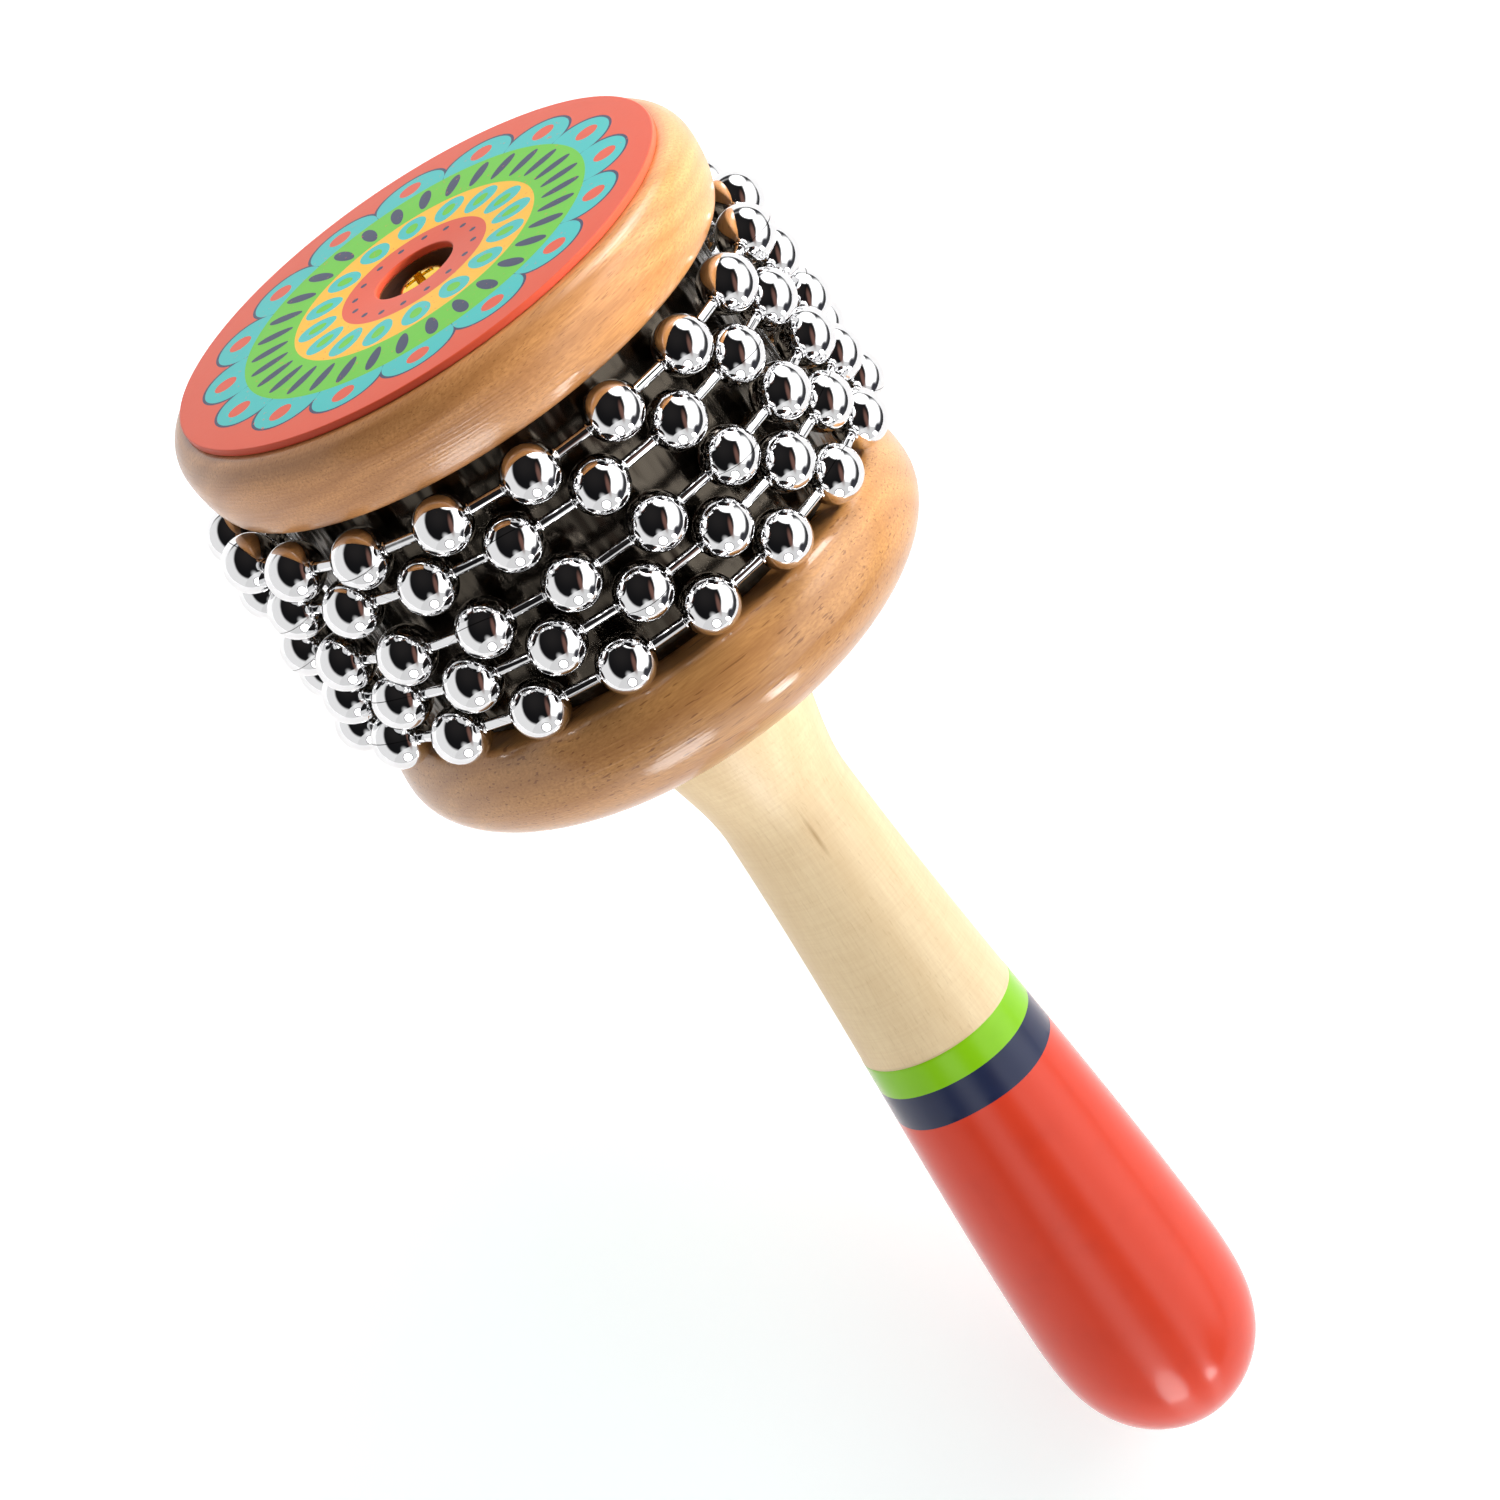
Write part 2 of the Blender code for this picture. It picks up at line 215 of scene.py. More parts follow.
def add_node(tree: Tree, kind: str, inputs: Inputs | None = None, **settings: Any) -> bpy.types.Node:
    """Adds a node with its settings, values and links.

    Args:
        tree: Node tree that gets the node.
        kind: Blender's name of the node's type.
        inputs: For each input, by name or number, the socket that feeds it or its value.
        settings: Properties of the node.

    Returns:
        The node.
    """
    node = tree.nodes.new(kind)
    for name, value in settings.items():
        setattr(node, name, value)
    for place, value in (inputs or {}).items():
        if isinstance(value, Socket):
            tree.links.new(value, node.inputs[place])
        else:
            node.inputs[place].default_value = value
    return node


@dataclass(frozen=True)
class Finish(ABC):
    """A surface finish, made into one material."""

    name: str

    @abstractmethod
    def sockets(self, tree: Tree) -> Inputs:
        """Adds the finish's pattern to a tree.

        Args:
            tree: The material's node tree.

        Returns:
            What goes into each socket of the surface shader.
        """

    def material(self) -> bpy.types.Material:
        """Gives the finish's material, made at its first use."""
        found = bpy.data.materials.get(self.name)
        if found:
            return found
        material = bpy.data.materials.new(self.name)
        material.use_nodes = True
        tree = material.node_tree
        tree.nodes.clear()
        shader = add_node(tree, "ShaderNodeBsdfPrincipled", self.sockets(tree))
        add_node(tree, "ShaderNodeOutputMaterial", {"Surface": shader.outputs[0]})
        return material


class Grain(Enum):
    """Which way the fibres of a piece of wood run: a sorting of (along, across, across) into x, y, z."""

    UP_THE_AXIS = (1, 2, 0)
    ACROSS_THE_AXIS = (0, 1, 2)

    def sizes(self, along: float, across: float, depth: float) -> tuple[float, ...]:
        """Sorts a pattern's sizes along, across and through the board into x, y and z."""
        return tuple((along, across, depth)[place] for place in self.value)


@dataclass(frozen=True)
class Mark:
    """A lens-shaped dark mark in the wood, such as a mineral streak.

    Attributes:
        middle: Middle of the mark.
        half: Half its size along x, y and z.
        share: How strongly it shows at its middle.
    """

    middle: tuple[float, float, float]
    half: tuple[float, float, float]
    share: float = 0.8


@dataclass(frozen=True)
class TurnedWood(Finish):
    """Turned and varnished wood: growth bands, fibres, short dark rays and lathe lines under a clear coat.

    A ramp gives the noise from which a pattern begins to show and the noise at which it shows fully.

    Attributes:
        pale: Colour of the early wood.
        deep: Colour of the late wood and the fibres.
        ray: Colour of the rays.
        grain: Which way the fibres run.
        heading: Turn of the board about the axis, in degrees.
        band: Spacing of the growth bands.
        band_share: How strongly they show, from 0 to 1.
        fibre: Length and width of a fibre.
        fibre_share: How strongly the fibres show.
        ray_size: Length and width of a ray.
        ray_share: How strongly the rays show.
        roughness: Roughness of the wood under the varnish.
        coat: Weight of the varnish.
        coat_roughness: Roughness of the varnish.
        mark: A dark mark, or None.
        lathe: Length and height of a lathe line.
        lathe_share: How strongly the lathe lines show.
        relief: Height of the fibres and the lathe lines through the varnish.
        fibre_relief: Height of the fibres against the lathe lines.
        sway: How far the growth bands sway, in bands.
        sway_sizes: Sizes of that sway along, across and through the board, in bands.
        tilt: Slope of the growth bands across the board.
        fibre_ramp: Ramp of the fibres.
        lathe_ramp: Ramp of the lathe lines.
        ray_ramp: Ramp of the rays.
    """

    pale: str
    deep: str
    ray: str
    grain: Grain
    heading: float
    band: float
    band_share: float
    fibre: tuple[float, float]
    fibre_share: float
    ray_size: tuple[float, float]
    ray_share: float
    roughness: float
    coat: float
    coat_roughness: float
    mark: Mark | None = None
    lathe: tuple[float, float] = (6.0 * MM, 0.36 * MM)
    lathe_share: float = 0.25
    relief: float = 0.04 * MM
    fibre_relief: float = 0.4
    sway: float = 9.0
    sway_sizes: tuple[float, float, float] = (40.0, 14.0, 9.0)
    tilt: float = 0.3
    fibre_ramp: tuple[float, float] = (0.35, 0.75)
    lathe_ramp: tuple[float, float] = (0.4, 0.7)
    ray_ramp: tuple[float, float] = (0.65, 0.7)

    def noise(self, tree: Tree, sizes: tuple[float, ...], heading: float, detail: float) -> Socket:
        """Adds noise that is stretched to a pattern's sizes and turned to the board.

        Args:
            tree: The material's node tree.
            sizes: The pattern's sizes along x, y and z.
            heading: Turn about the axis, in degrees.
            detail: Number of finer layers.

        Returns:
            The noise, from 0 to 1.
        """
        place = add_node(tree, "ShaderNodeTexCoord").outputs["Object"]
        turn = {"Vector": place, "Rotation": (0.0, 0.0, math.radians(heading)), "Scale": sizes}
        own = add_node(tree, "ShaderNodeMapping", turn, vector_type="TEXTURE").outputs[0]
        fine = {"Vector": own, "Scale": 1.0, "Detail": detail}
        return add_node(tree, "ShaderNodeTexNoise", fine).outputs[0]

    def bands(self, tree: Tree) -> Socket:
        """Adds the growth bands: the depth in the board, swayed by slow noise and folded into a zigzag."""
        slow = self.grain.sizes(*(size * self.band for size in self.sway_sizes))
        sway = self.noise(tree, slow, self.heading, 2.0)
        place = add_node(tree, "ShaderNodeTexCoord").outputs["Object"]
        tilt = Vector(self.grain.sizes(0.0, self.tilt, 1.0)) / self.band
        depth = add_node(tree, "ShaderNodeVectorMath", {0: place, 1: tilt}, operation="DOT_PRODUCT")
        swayed = {0: sway, 1: self.sway, 2: depth.outputs["Value"]}
        level = add_node(tree, "ShaderNodeMath", swayed, operation="MULTIPLY_ADD").outputs[0]
        return add_node(tree, "ShaderNodeMath", {0: level, 1: 1.0}, operation="PINGPONG").outputs[0]

    def mark_reach(self, tree: Tree) -> Socket:
        """Adds the distance from the mark's middle, which is 1 at its edge."""
        place = add_node(tree, "ShaderNodeTexCoord").outputs["Object"]
        fit = {"Vector": place, "Location": self.mark.middle, "Scale": self.mark.half}
        own = add_node(tree, "ShaderNodeMapping", fit, vector_type="TEXTURE").outputs[0]
        return add_node(tree, "ShaderNodeVectorMath", {0: own}, operation="LENGTH").outputs["Value"]

    def sockets(self, tree: Tree) -> Inputs:
        """Adds bands, fibres, lathe lines and rays as layers of colour, and the fine ones as relief."""
        length, width = self.fibre
        fibres = self.noise(tree, self.grain.sizes(length, width, width), self.heading, 5.0)
        line, height = self.lathe
        lines = self.noise(tree, (line, line, height), 0.0, 2.0)
        length, width = self.ray_size
        rays = self.noise(tree, self.grain.sizes(length, 2 * width, width), self.heading, 1.0)
        layers = [
            (self.bands(tree), (0.0, 1.0), self.band_share, self.deep),
            (fibres, self.fibre_ramp, self.fibre_share, self.deep),
            (lines, self.lathe_ramp, self.lathe_share, self.deep),
            (rays, self.ray_ramp, self.ray_share, self.ray),
        ]
        if self.mark:
            layers.append((self.mark_reach(tree), (1.0, 0.0), self.mark.share, self.ray))
        colour = linear(self.pale)
        for value, (low, high), top, code in layers:
            ramp = {"Value": value, "From Min": low, "From Max": high, "To Max": top}
            share = add_node(tree, "ShaderNodeMapRange", ramp).outputs[0]
            layer = {0: share, MIX_A: colour, MIX_B: linear(code)}
            colour = add_node(tree, "ShaderNodeMix", layer, data_type="RGBA").outputs[MIX_RESULT]
        heights = {0: fibres, 1: self.fibre_relief, 2: lines}
        fine = add_node(tree, "ShaderNodeMath", heights, operation="MULTIPLY_ADD").outputs[0]
        relief = add_node(tree, "ShaderNodeBump", {"Height": fine, "Distance": self.relief, "Strength": 1.0})
        return {
            "Base Color": colour,
            "Roughness": self.roughness,
            "Coat Weight": self.coat,
            "Coat Roughness": self.coat_roughness,
            "Normal": relief.outputs[0],
            "Coat Normal": relief.outputs[0],
        }


@dataclass(frozen=True)
class Enamel(Finish):
    """Dipped or brushed enamel: even colour, a soft gloss and the faint ripple that wet paint leaves.

    Attributes:
        colour: Colour of the paint.
        shade: Colour where the film is thin.
        roughness: Roughness of the paint.
        shine: Strength of the paint's own shine.
        drag: How far the turning lines under the paint draw that shine out along the axis.
        drag_turn: Turn of that drag from the way round the axis, as a share of a full turn.
        coat: Weight of the gloss on top.
        coat_index: Refractive index of the gloss, low as a waxed film's.
        coat_roughness: Roughness of that gloss.
        ripple: Width of a ripple.
        ripple_height: Height of a ripple.
        clouds: Number of clouds of thin paint in the width of a ripple.
        cloud_ramp: Noise from which the film thins, and at which it is thinnest.
        cloud_share: How far the thinnest film goes to its shade.
    """

    colour: str
    shade: str
    roughness: float = 0.36
    shine: float = 0.24
    drag: float = 0.9
    drag_turn: float = 0.25
    coat: float = 1.0
    coat_index: float = 1.24
    coat_roughness: float = 0.16
    ripple: float = 2.2 * MM
    ripple_height: float = 0.012 * MM
    clouds: float = 0.35
    cloud_ramp: tuple[float, float] = (0.5, 0.8)
    cloud_share: float = 0.6

    def sockets(self, tree: Tree) -> Inputs:
        """Adds cloudy colour, the ripple and the shine's direction."""
        place = add_node(tree, "ShaderNodeTexCoord").outputs["Object"]
        patches = {"Vector": place, "Scale": self.clouds / self.ripple, "Detail": 4.0}
        cloud = add_node(tree, "ShaderNodeTexNoise", patches).outputs[0]
        low, high = self.cloud_ramp
        ramp = {"Value": cloud, "From Min": low, "From Max": high, "To Max": self.cloud_share}
        thin = add_node(tree, "ShaderNodeMapRange", ramp).outputs[0]
        film = {0: thin, MIX_A: linear(self.colour), MIX_B: linear(self.shade)}
        colour = add_node(tree, "ShaderNodeMix", film, data_type="RGBA").outputs[MIX_RESULT]
        waves = {"Vector": place, "Scale": 1.0 / self.ripple, "Detail": 2.0}
        wave = add_node(tree, "ShaderNodeTexNoise", waves).outputs[0]
        bump = {"Height": wave, "Distance": self.ripple_height, "Strength": 1.0}
        relief = add_node(tree, "ShaderNodeBump", bump).outputs[0]
        around = add_node(tree, "ShaderNodeTangent", direction_type="RADIAL", axis="Z").outputs[0]
        return {
            "Base Color": colour,
            "Roughness": self.roughness,
            "Specular IOR Level": self.shine,
            "Anisotropic": self.drag,
            "Anisotropic Rotation": self.drag_turn,
            "Tangent": around,
            "Coat Weight": self.coat,
            "Coat IOR": self.coat_index,
            "Coat Roughness": self.coat_roughness,
            "Normal": relief,
            "Coat Normal": relief,
        }


@dataclass(frozen=True)
class PolishedMetal(Finish):
    """Polished or plated metal: a mirror that shallow dents bend.

    Attributes:
        colour: Colour of what it reflects.
        roughness: Roughness of the polish.
        dent: Width of a dent.
        dent_depth: Depth of a dent.
    """

    colour: str
    roughness: float
    dent: float
    dent_depth: float

    def sockets(self, tree: Tree) -> Inputs:
        """Adds the dents as relief."""
        place = add_node(tree, "ShaderNodeTexCoord").outputs["Object"]
        dents = {"Vector": place, "Scale": 1.0 / self.dent, "Detail": 2.0}
        height = add_node(tree, "ShaderNodeTexNoise", dents).outputs[0]
        bump = {"Height": height, "Distance": self.dent_depth, "Strength": 1.0}
        relief = add_node(tree, "ShaderNodeBump", bump).outputs[0]
        return {
            "Base Color": linear(self.colour),
            "Metallic": 1.0,
            "Roughness": self.roughness,
            "Normal": relief,
        }


@dataclass(frozen=True)
class RibbedSteel(PolishedMetal):
    """Rolled steel with upright ribs, the rasp: what it mirrors breaks into streaks along the axis.

    Attributes:
        ribs: Number of ribs round the sleeve.
        rib_height: Height of a rib.
        streak: Width and length of the uneven streaks between them.
        streak_share: Height of the streaks against half a rib's.
    """

    ribs: int = 96
    rib_height: float = 0.05 * MM
    streak: tuple[float, float] = (1.6 * MM, 20.0 * MM)
    streak_share: float = 2.5

    def sockets(self, tree: Tree) -> Inputs:
        """Adds ribs, as a sine of the angle about the axis, and noise stretched along it, as relief."""
        place = add_node(tree, "ShaderNodeTexCoord").outputs["Object"]
        x, y, _ = add_node(tree, "ShaderNodeSeparateXYZ", {0: place}).outputs
        angle = add_node(tree, "ShaderNodeMath", {0: y, 1: x}, operation="ARCTAN2").outputs[0]
        phase = add_node(tree, "ShaderNodeMath", {0: angle, 1: float(self.ribs)}, operation="MULTIPLY")
        rib = add_node(tree, "ShaderNodeMath", {0: phase.outputs[0]}, operation="SINE").outputs[0]
        width, length = self.streak
        stretch = {"Vector": place, "Scale": (width, width, length)}
        own = add_node(tree, "ShaderNodeMapping", stretch, vector_type="TEXTURE").outputs[0]
        streaks = add_node(tree, "ShaderNodeTexNoise", {"Vector": own, "Scale": 1.0, "Detail": 2.0})
        heights = {0: streaks.outputs[0], 1: self.streak_share, 2: rib}
        height = add_node(tree, "ShaderNodeMath", heights, operation="MULTIPLY_ADD").outputs[0]
        bump = {"Height": height, "Distance": self.rib_height / 2, "Strength": 1.0}
        relief = add_node(tree, "ShaderNodeBump", bump).outputs[0]
        return super().sockets(tree) | {"Normal": relief}


@dataclass(frozen=True)
class PlatedChain(PolishedMetal):
    """Nickel-plated stamped chain: a mirror with one dark seam along each bead, where the strip closes.

    Attributes:
        seam: Width of the seam.
        seam_colour: Colour in the seam.
        seam_share: How strongly the seam shows.
    """

    seam: float = 0.16 * MM
    seam_colour: str = "#2c2b2a"
    seam_share: float = 0.9

    def sockets(self, tree: Tree) -> Inputs:
        """Adds the seam to the dented mirror, from the surface map that counts from it in metres."""
        unrolled = add_node(tree, "ShaderNodeUVMap", uv_map="unrolled").outputs[0]
        beside = add_node(tree, "ShaderNodeSeparateXYZ", {0: unrolled}).outputs["X"]
        away = add_node(tree, "ShaderNodeMath", {0: beside}, operation="ABSOLUTE").outputs[0]
        edge = {"From Min": self.seam / 2, "From Max": self.seam / 4}
        ramp = {"Value": away, "To Max": self.seam_share} | edge
        line = add_node(tree, "ShaderNodeMapRange", ramp).outputs[0]
        seamed = {0: line, MIX_A: linear(self.colour), MIX_B: linear(self.seam_colour)}
        colour = add_node(tree, "ShaderNodeMix", seamed, data_type="RGBA").outputs[MIX_RESULT]
        return super().sockets(tree) | {"Base Color": colour}


@dataclass(frozen=True)
class PrintRing:
    """A ring of like ovals in the facing's print; with a count of 0 it is a plain disc.

    Attributes:
        colour: Colour of the ovals.
        count: Number of ovals round the ring.
        radius: Radius of the ring through their middles, or of the plain disc.
        half_width: Half an oval's width along the ring.
        half_length: Half an oval's length towards the middle.
        turn: Turn of the ring, as a share of one oval's spacing.
    """

    colour: str
    count: int
    radius: float
    half_width: float = 0.0
    half_length: float = 0.0
    turn: float = 0.0


@dataclass(frozen=True)
class PrintedFacing(Finish):
    """Satin red facing with a screen-printed rosette of ovals and dots, a little worn.

    Attributes:
        ground: Colour of the facing.
        rings: Rings of the print, in the order in which they lie on each other.
        worn: Size of a worn fleck, through which the ground shows.
        worn_ramp: Noise from which the ink is worn, and at which it is worn most.
        worn_share: How far the ground shows there.
        worn_depth: Depth of a fleck.
        roughness: Roughness of the ink.
        shine: Strength of its shine, low as a matt lacquer's.
    """

    ground: str
    rings: tuple[PrintRing, ...]
    worn: float = 0.9 * MM
    worn_ramp: tuple[float, float] = (0.66, 0.7)
    worn_share: float = 0.7
    worn_depth: float = 0.01 * MM
    roughness: float = 0.38
    shine: float = 0.2

    def ring_mask(self, tree: Tree, ring: PrintRing, angle: Socket, reach: Socket) -> Socket:
        """Adds the mask of one ring: 1 where (along / half_width)^2 + ((reach - radius) / half_length)^2 < 1.

        Args:
            tree: The material's node tree.
            ring: The ring.
            angle: Angle about the axis, in radians.
            reach: Distance from the axis.

        Returns:
            The mask.
        """
        if not ring.count:
            disc = {0: reach, 1: ring.radius}
            return add_node(tree, "ShaderNodeMath", disc, operation="LESS_THAN").outputs[0]
        spaces = {0: angle, 1: ring.count / (2 * math.pi), 2: ring.turn}
        turns = add_node(tree, "ShaderNodeMath", spaces, operation="MULTIPLY_ADD").outputs[0]
        share = add_node(tree, "ShaderNodeMath", {0: turns}, operation="FRACT").outputs[0]
        widths = 2 * math.pi * ring.radius / ring.count / ring.half_width
        across = {0: share, 1: widths, 2: -widths / 2}
        along = add_node(tree, "ShaderNodeMath", across, operation="MULTIPLY_ADD").outputs[0]
        lengths = {0: reach, 1: 1 / ring.half_length, 2: -ring.radius / ring.half_length}
        outward = add_node(tree, "ShaderNodeMath", lengths, operation="MULTIPLY_ADD").outputs[0]
        offset = add_node(tree, "ShaderNodeCombineXYZ", {"X": along, "Y": outward}).outputs[0]
        distance = add_node(tree, "ShaderNodeVectorMath", {0: offset}, operation="LENGTH").outputs["Value"]
        return add_node(tree, "ShaderNodeMath", {0: distance, 1: 1.0}, operation="LESS_THAN").outputs[0]

    def sockets(self, tree: Tree) -> Inputs:
        """Adds the rings one over another, and lets the ground show through where the ink is worn."""
        place = add_node(tree, "ShaderNodeTexCoord").outputs["Object"]
        x, y, _ = add_node(tree, "ShaderNodeSeparateXYZ", {0: place}).outputs
        angle = add_node(tree, "ShaderNodeMath", {0: y, 1: x}, operation="ARCTAN2").outputs[0]
        flat = add_node(tree, "ShaderNodeCombineXYZ", {"X": x, "Y": y}).outputs[0]
        reach = add_node(tree, "ShaderNodeVectorMath", {0: flat}, operation="LENGTH").outputs["Value"]
        specks = {"Vector": place, "Scale": 1.0 / self.worn, "Detail": 3.0, "Roughness": 0.7}
        flecks = add_node(tree, "ShaderNodeTexNoise", specks).outputs[0]
        low, high = self.worn_ramp
        ramp = {"Value": flecks, "From Min": low, "From Max": high, "To Max": self.worn_share}
        worn = add_node(tree, "ShaderNodeMapRange", ramp).outputs[0]
        layers = [(self.ring_mask(tree, ring, angle, reach), ring.colour) for ring in self.rings]
        colour = linear(self.ground)
        for mask, code in [*layers, (worn, self.ground)]:
            layer = {0: mask, MIX_A: colour, MIX_B: linear(code)}
            colour = add_node(tree, "ShaderNodeMix", layer, data_type="RGBA").outputs[MIX_RESULT]
        bump = {"Height": flecks, "Distance": self.worn_depth, "Strength": 1.0}
        relief = add_node(tree, "ShaderNodeBump", bump).outputs[0]
        return {
            "Base Color": colour,
            "Roughness": self.roughness,
            "Specular IOR Level": self.shine,
            "Normal": relief,
        }


# Maple is pale and close-grained, so the fibres hardly show under the thin varnish
MAPLE = TurnedWood(
    "maple_varnished", pale="#edd7ad", deep="#d9bb8d", ray="#b08a58", grain=Grain.UP_THE_AXIS, heading=20.0,
    band=2.6 * MM, band_share=0.35, fibre=(9 * MM, 0.35 * MM), fibre_share=0.45,
    ray_size=(2.2 * MM, 0.16 * MM), ray_share=0.15, roughness=0.5, coat=0.25, coat_roughness=0.25,
    mark=Mark((0.6 * MM, -10.0 * MM, 45.0 * MM), (0.45 * MM, 4.0 * MM, 4.5 * MM)),
)
# Beech is pinkish tan with short brown rays, and here has a thick glossy varnish
UPPER_BEECH = TurnedWood(
    "beech_upper_varnished", pale="#c68d54", deep="#9c6636", ray="#7d4e27", grain=Grain.ACROSS_THE_AXIS,
    heading=25.0, band=2.3 * MM, band_share=0.6, fibre=(4 * MM, 0.3 * MM), fibre_share=0.8,
    ray_size=(1.8 * MM, 0.14 * MM), ray_share=0.6, roughness=0.45, coat=0.5, coat_roughness=0.08,
    lathe=(14 * MM, 0.35 * MM), relief=0.06 * MM,
)
# The lower disc is cut so that its rays are seen from the side, longer and darker
LOWER_BEECH = TurnedWood(
    "beech_lower_varnished", pale="#bf8b50", deep="#976435", ray="#74461f", grain=Grain.ACROSS_THE_AXIS,
    heading=5.0, band=3.0 * MM, band_share=0.5, fibre=(5 * MM, 0.3 * MM), fibre_share=0.8,
    ray_size=(6.0 * MM, 0.3 * MM), ray_share=0.75, roughness=0.45, coat=0.65, coat_roughness=0.07,
    lathe=(14 * MM, 0.35 * MM), relief=0.05 * MM,
)
# The drum inside is left raw from the lathe
RAW_BEECH = TurnedWood(
    "beech_raw", pale="#c9a67a", deep="#a98556", ray="#8a673f", grain=Grain.UP_THE_AXIS, heading=0.0,
    band=2.5 * MM, band_share=0.5, fibre=(6 * MM, 0.3 * MM), fibre_share=0.5, ray_size=(2 * MM, 0.2 * MM),
    ray_share=0.5, roughness=0.7, coat=0.0, coat_roughness=0.5,
)
# The screw's recess is bored after varnishing; its wall and floor get dark brown wood as painted shade, for
# the shade down the bore
RECESS_SHADE_BEECH = TurnedWood(
    "beech_recess_painted_shade", pale="#5a2f17", deep="#3a1c0c", ray="#241006", grain=Grain.ACROSS_THE_AXIS,
    heading=25.0, band=2.3 * MM, band_share=0.6, fibre=(3 * MM, 0.3 * MM), fibre_share=0.6,
    ray_size=(1.8 * MM, 0.14 * MM), ray_share=0.5, roughness=0.7, coat=0.0, coat_roughness=0.5,
)
# Enamel hides the wood's grain, but its turning lines still draw the shine out along the handle
GREEN_ENAMEL = Enamel("enamel_green", "#86c800", "#7aba00")
NAVY_ENAMEL = Enamel("enamel_navy", "#1b2546", "#171f3b")
RED_ENAMEL = Enamel("enamel_red", "#d83d20", "#cc361a")
# Plated beads are mirrors; the sleeve is plainer rolled steel, and the screw is bright brass
CHAIN_NICKEL = PlatedChain("nickel_plated_chain", "#e9e9ea", 0.035, dent=2.0 * MM, dent_depth=0.012 * MM)
SLEEVE_STEEL = RibbedSteel("steel_ribbed_sheet", "#4c463e", 0.22, dent=3.0 * MM, dent_depth=0.01 * MM)
SCREW_BRASS = PolishedMetal("brass_bright", "#f0c840", 0.2, dent=1.0 * MM, dent_depth=0.02 * MM)

TURQUOISE, LEAF_GREEN, AMBER, INK_NAVY, GROUND_RED = "#3bb0ae", "#60b62c", "#e6ae2a", "#2b3352", "#cf5238"
# Screen ink on lacquered board is flat and satin, so its colours show evenly
FACING_PRINT = PrintedFacing(
    "facing_printed",
    ground=GROUND_RED,
    rings=(
        PrintRing(INK_NAVY, 16, 27.3 * MM, 5.75 * MM, 5.75 * MM),
        PrintRing(TURQUOISE, 16, 27.3 * MM, 5.35 * MM, 5.35 * MM),
        PrintRing(GROUND_RED, 16, 29.4 * MM, 1.7 * MM, 1.7 * MM),
        PrintRing(LEAF_GREEN, 0, 26.4 * MM),
        PrintRing(INK_NAVY, 32, 22.6 * MM, 0.95 * MM, 2.9 * MM),
        PrintRing(AMBER, 0, 18.6 * MM),
        PrintRing(TURQUOISE, 16, 15.0 * MM, 2.2 * MM, 3.0 * MM),
        PrintRing(LEAF_GREEN, 16, 15.0 * MM, 0.95 * MM, 1.4 * MM),
        PrintRing(GROUND_RED, 0, 11.2 * MM),
        PrintRing(INK_NAVY, 16, 9.3 * MM, 0.5 * MM, 0.5 * MM, 0.5),
    ),
)


# Pieces


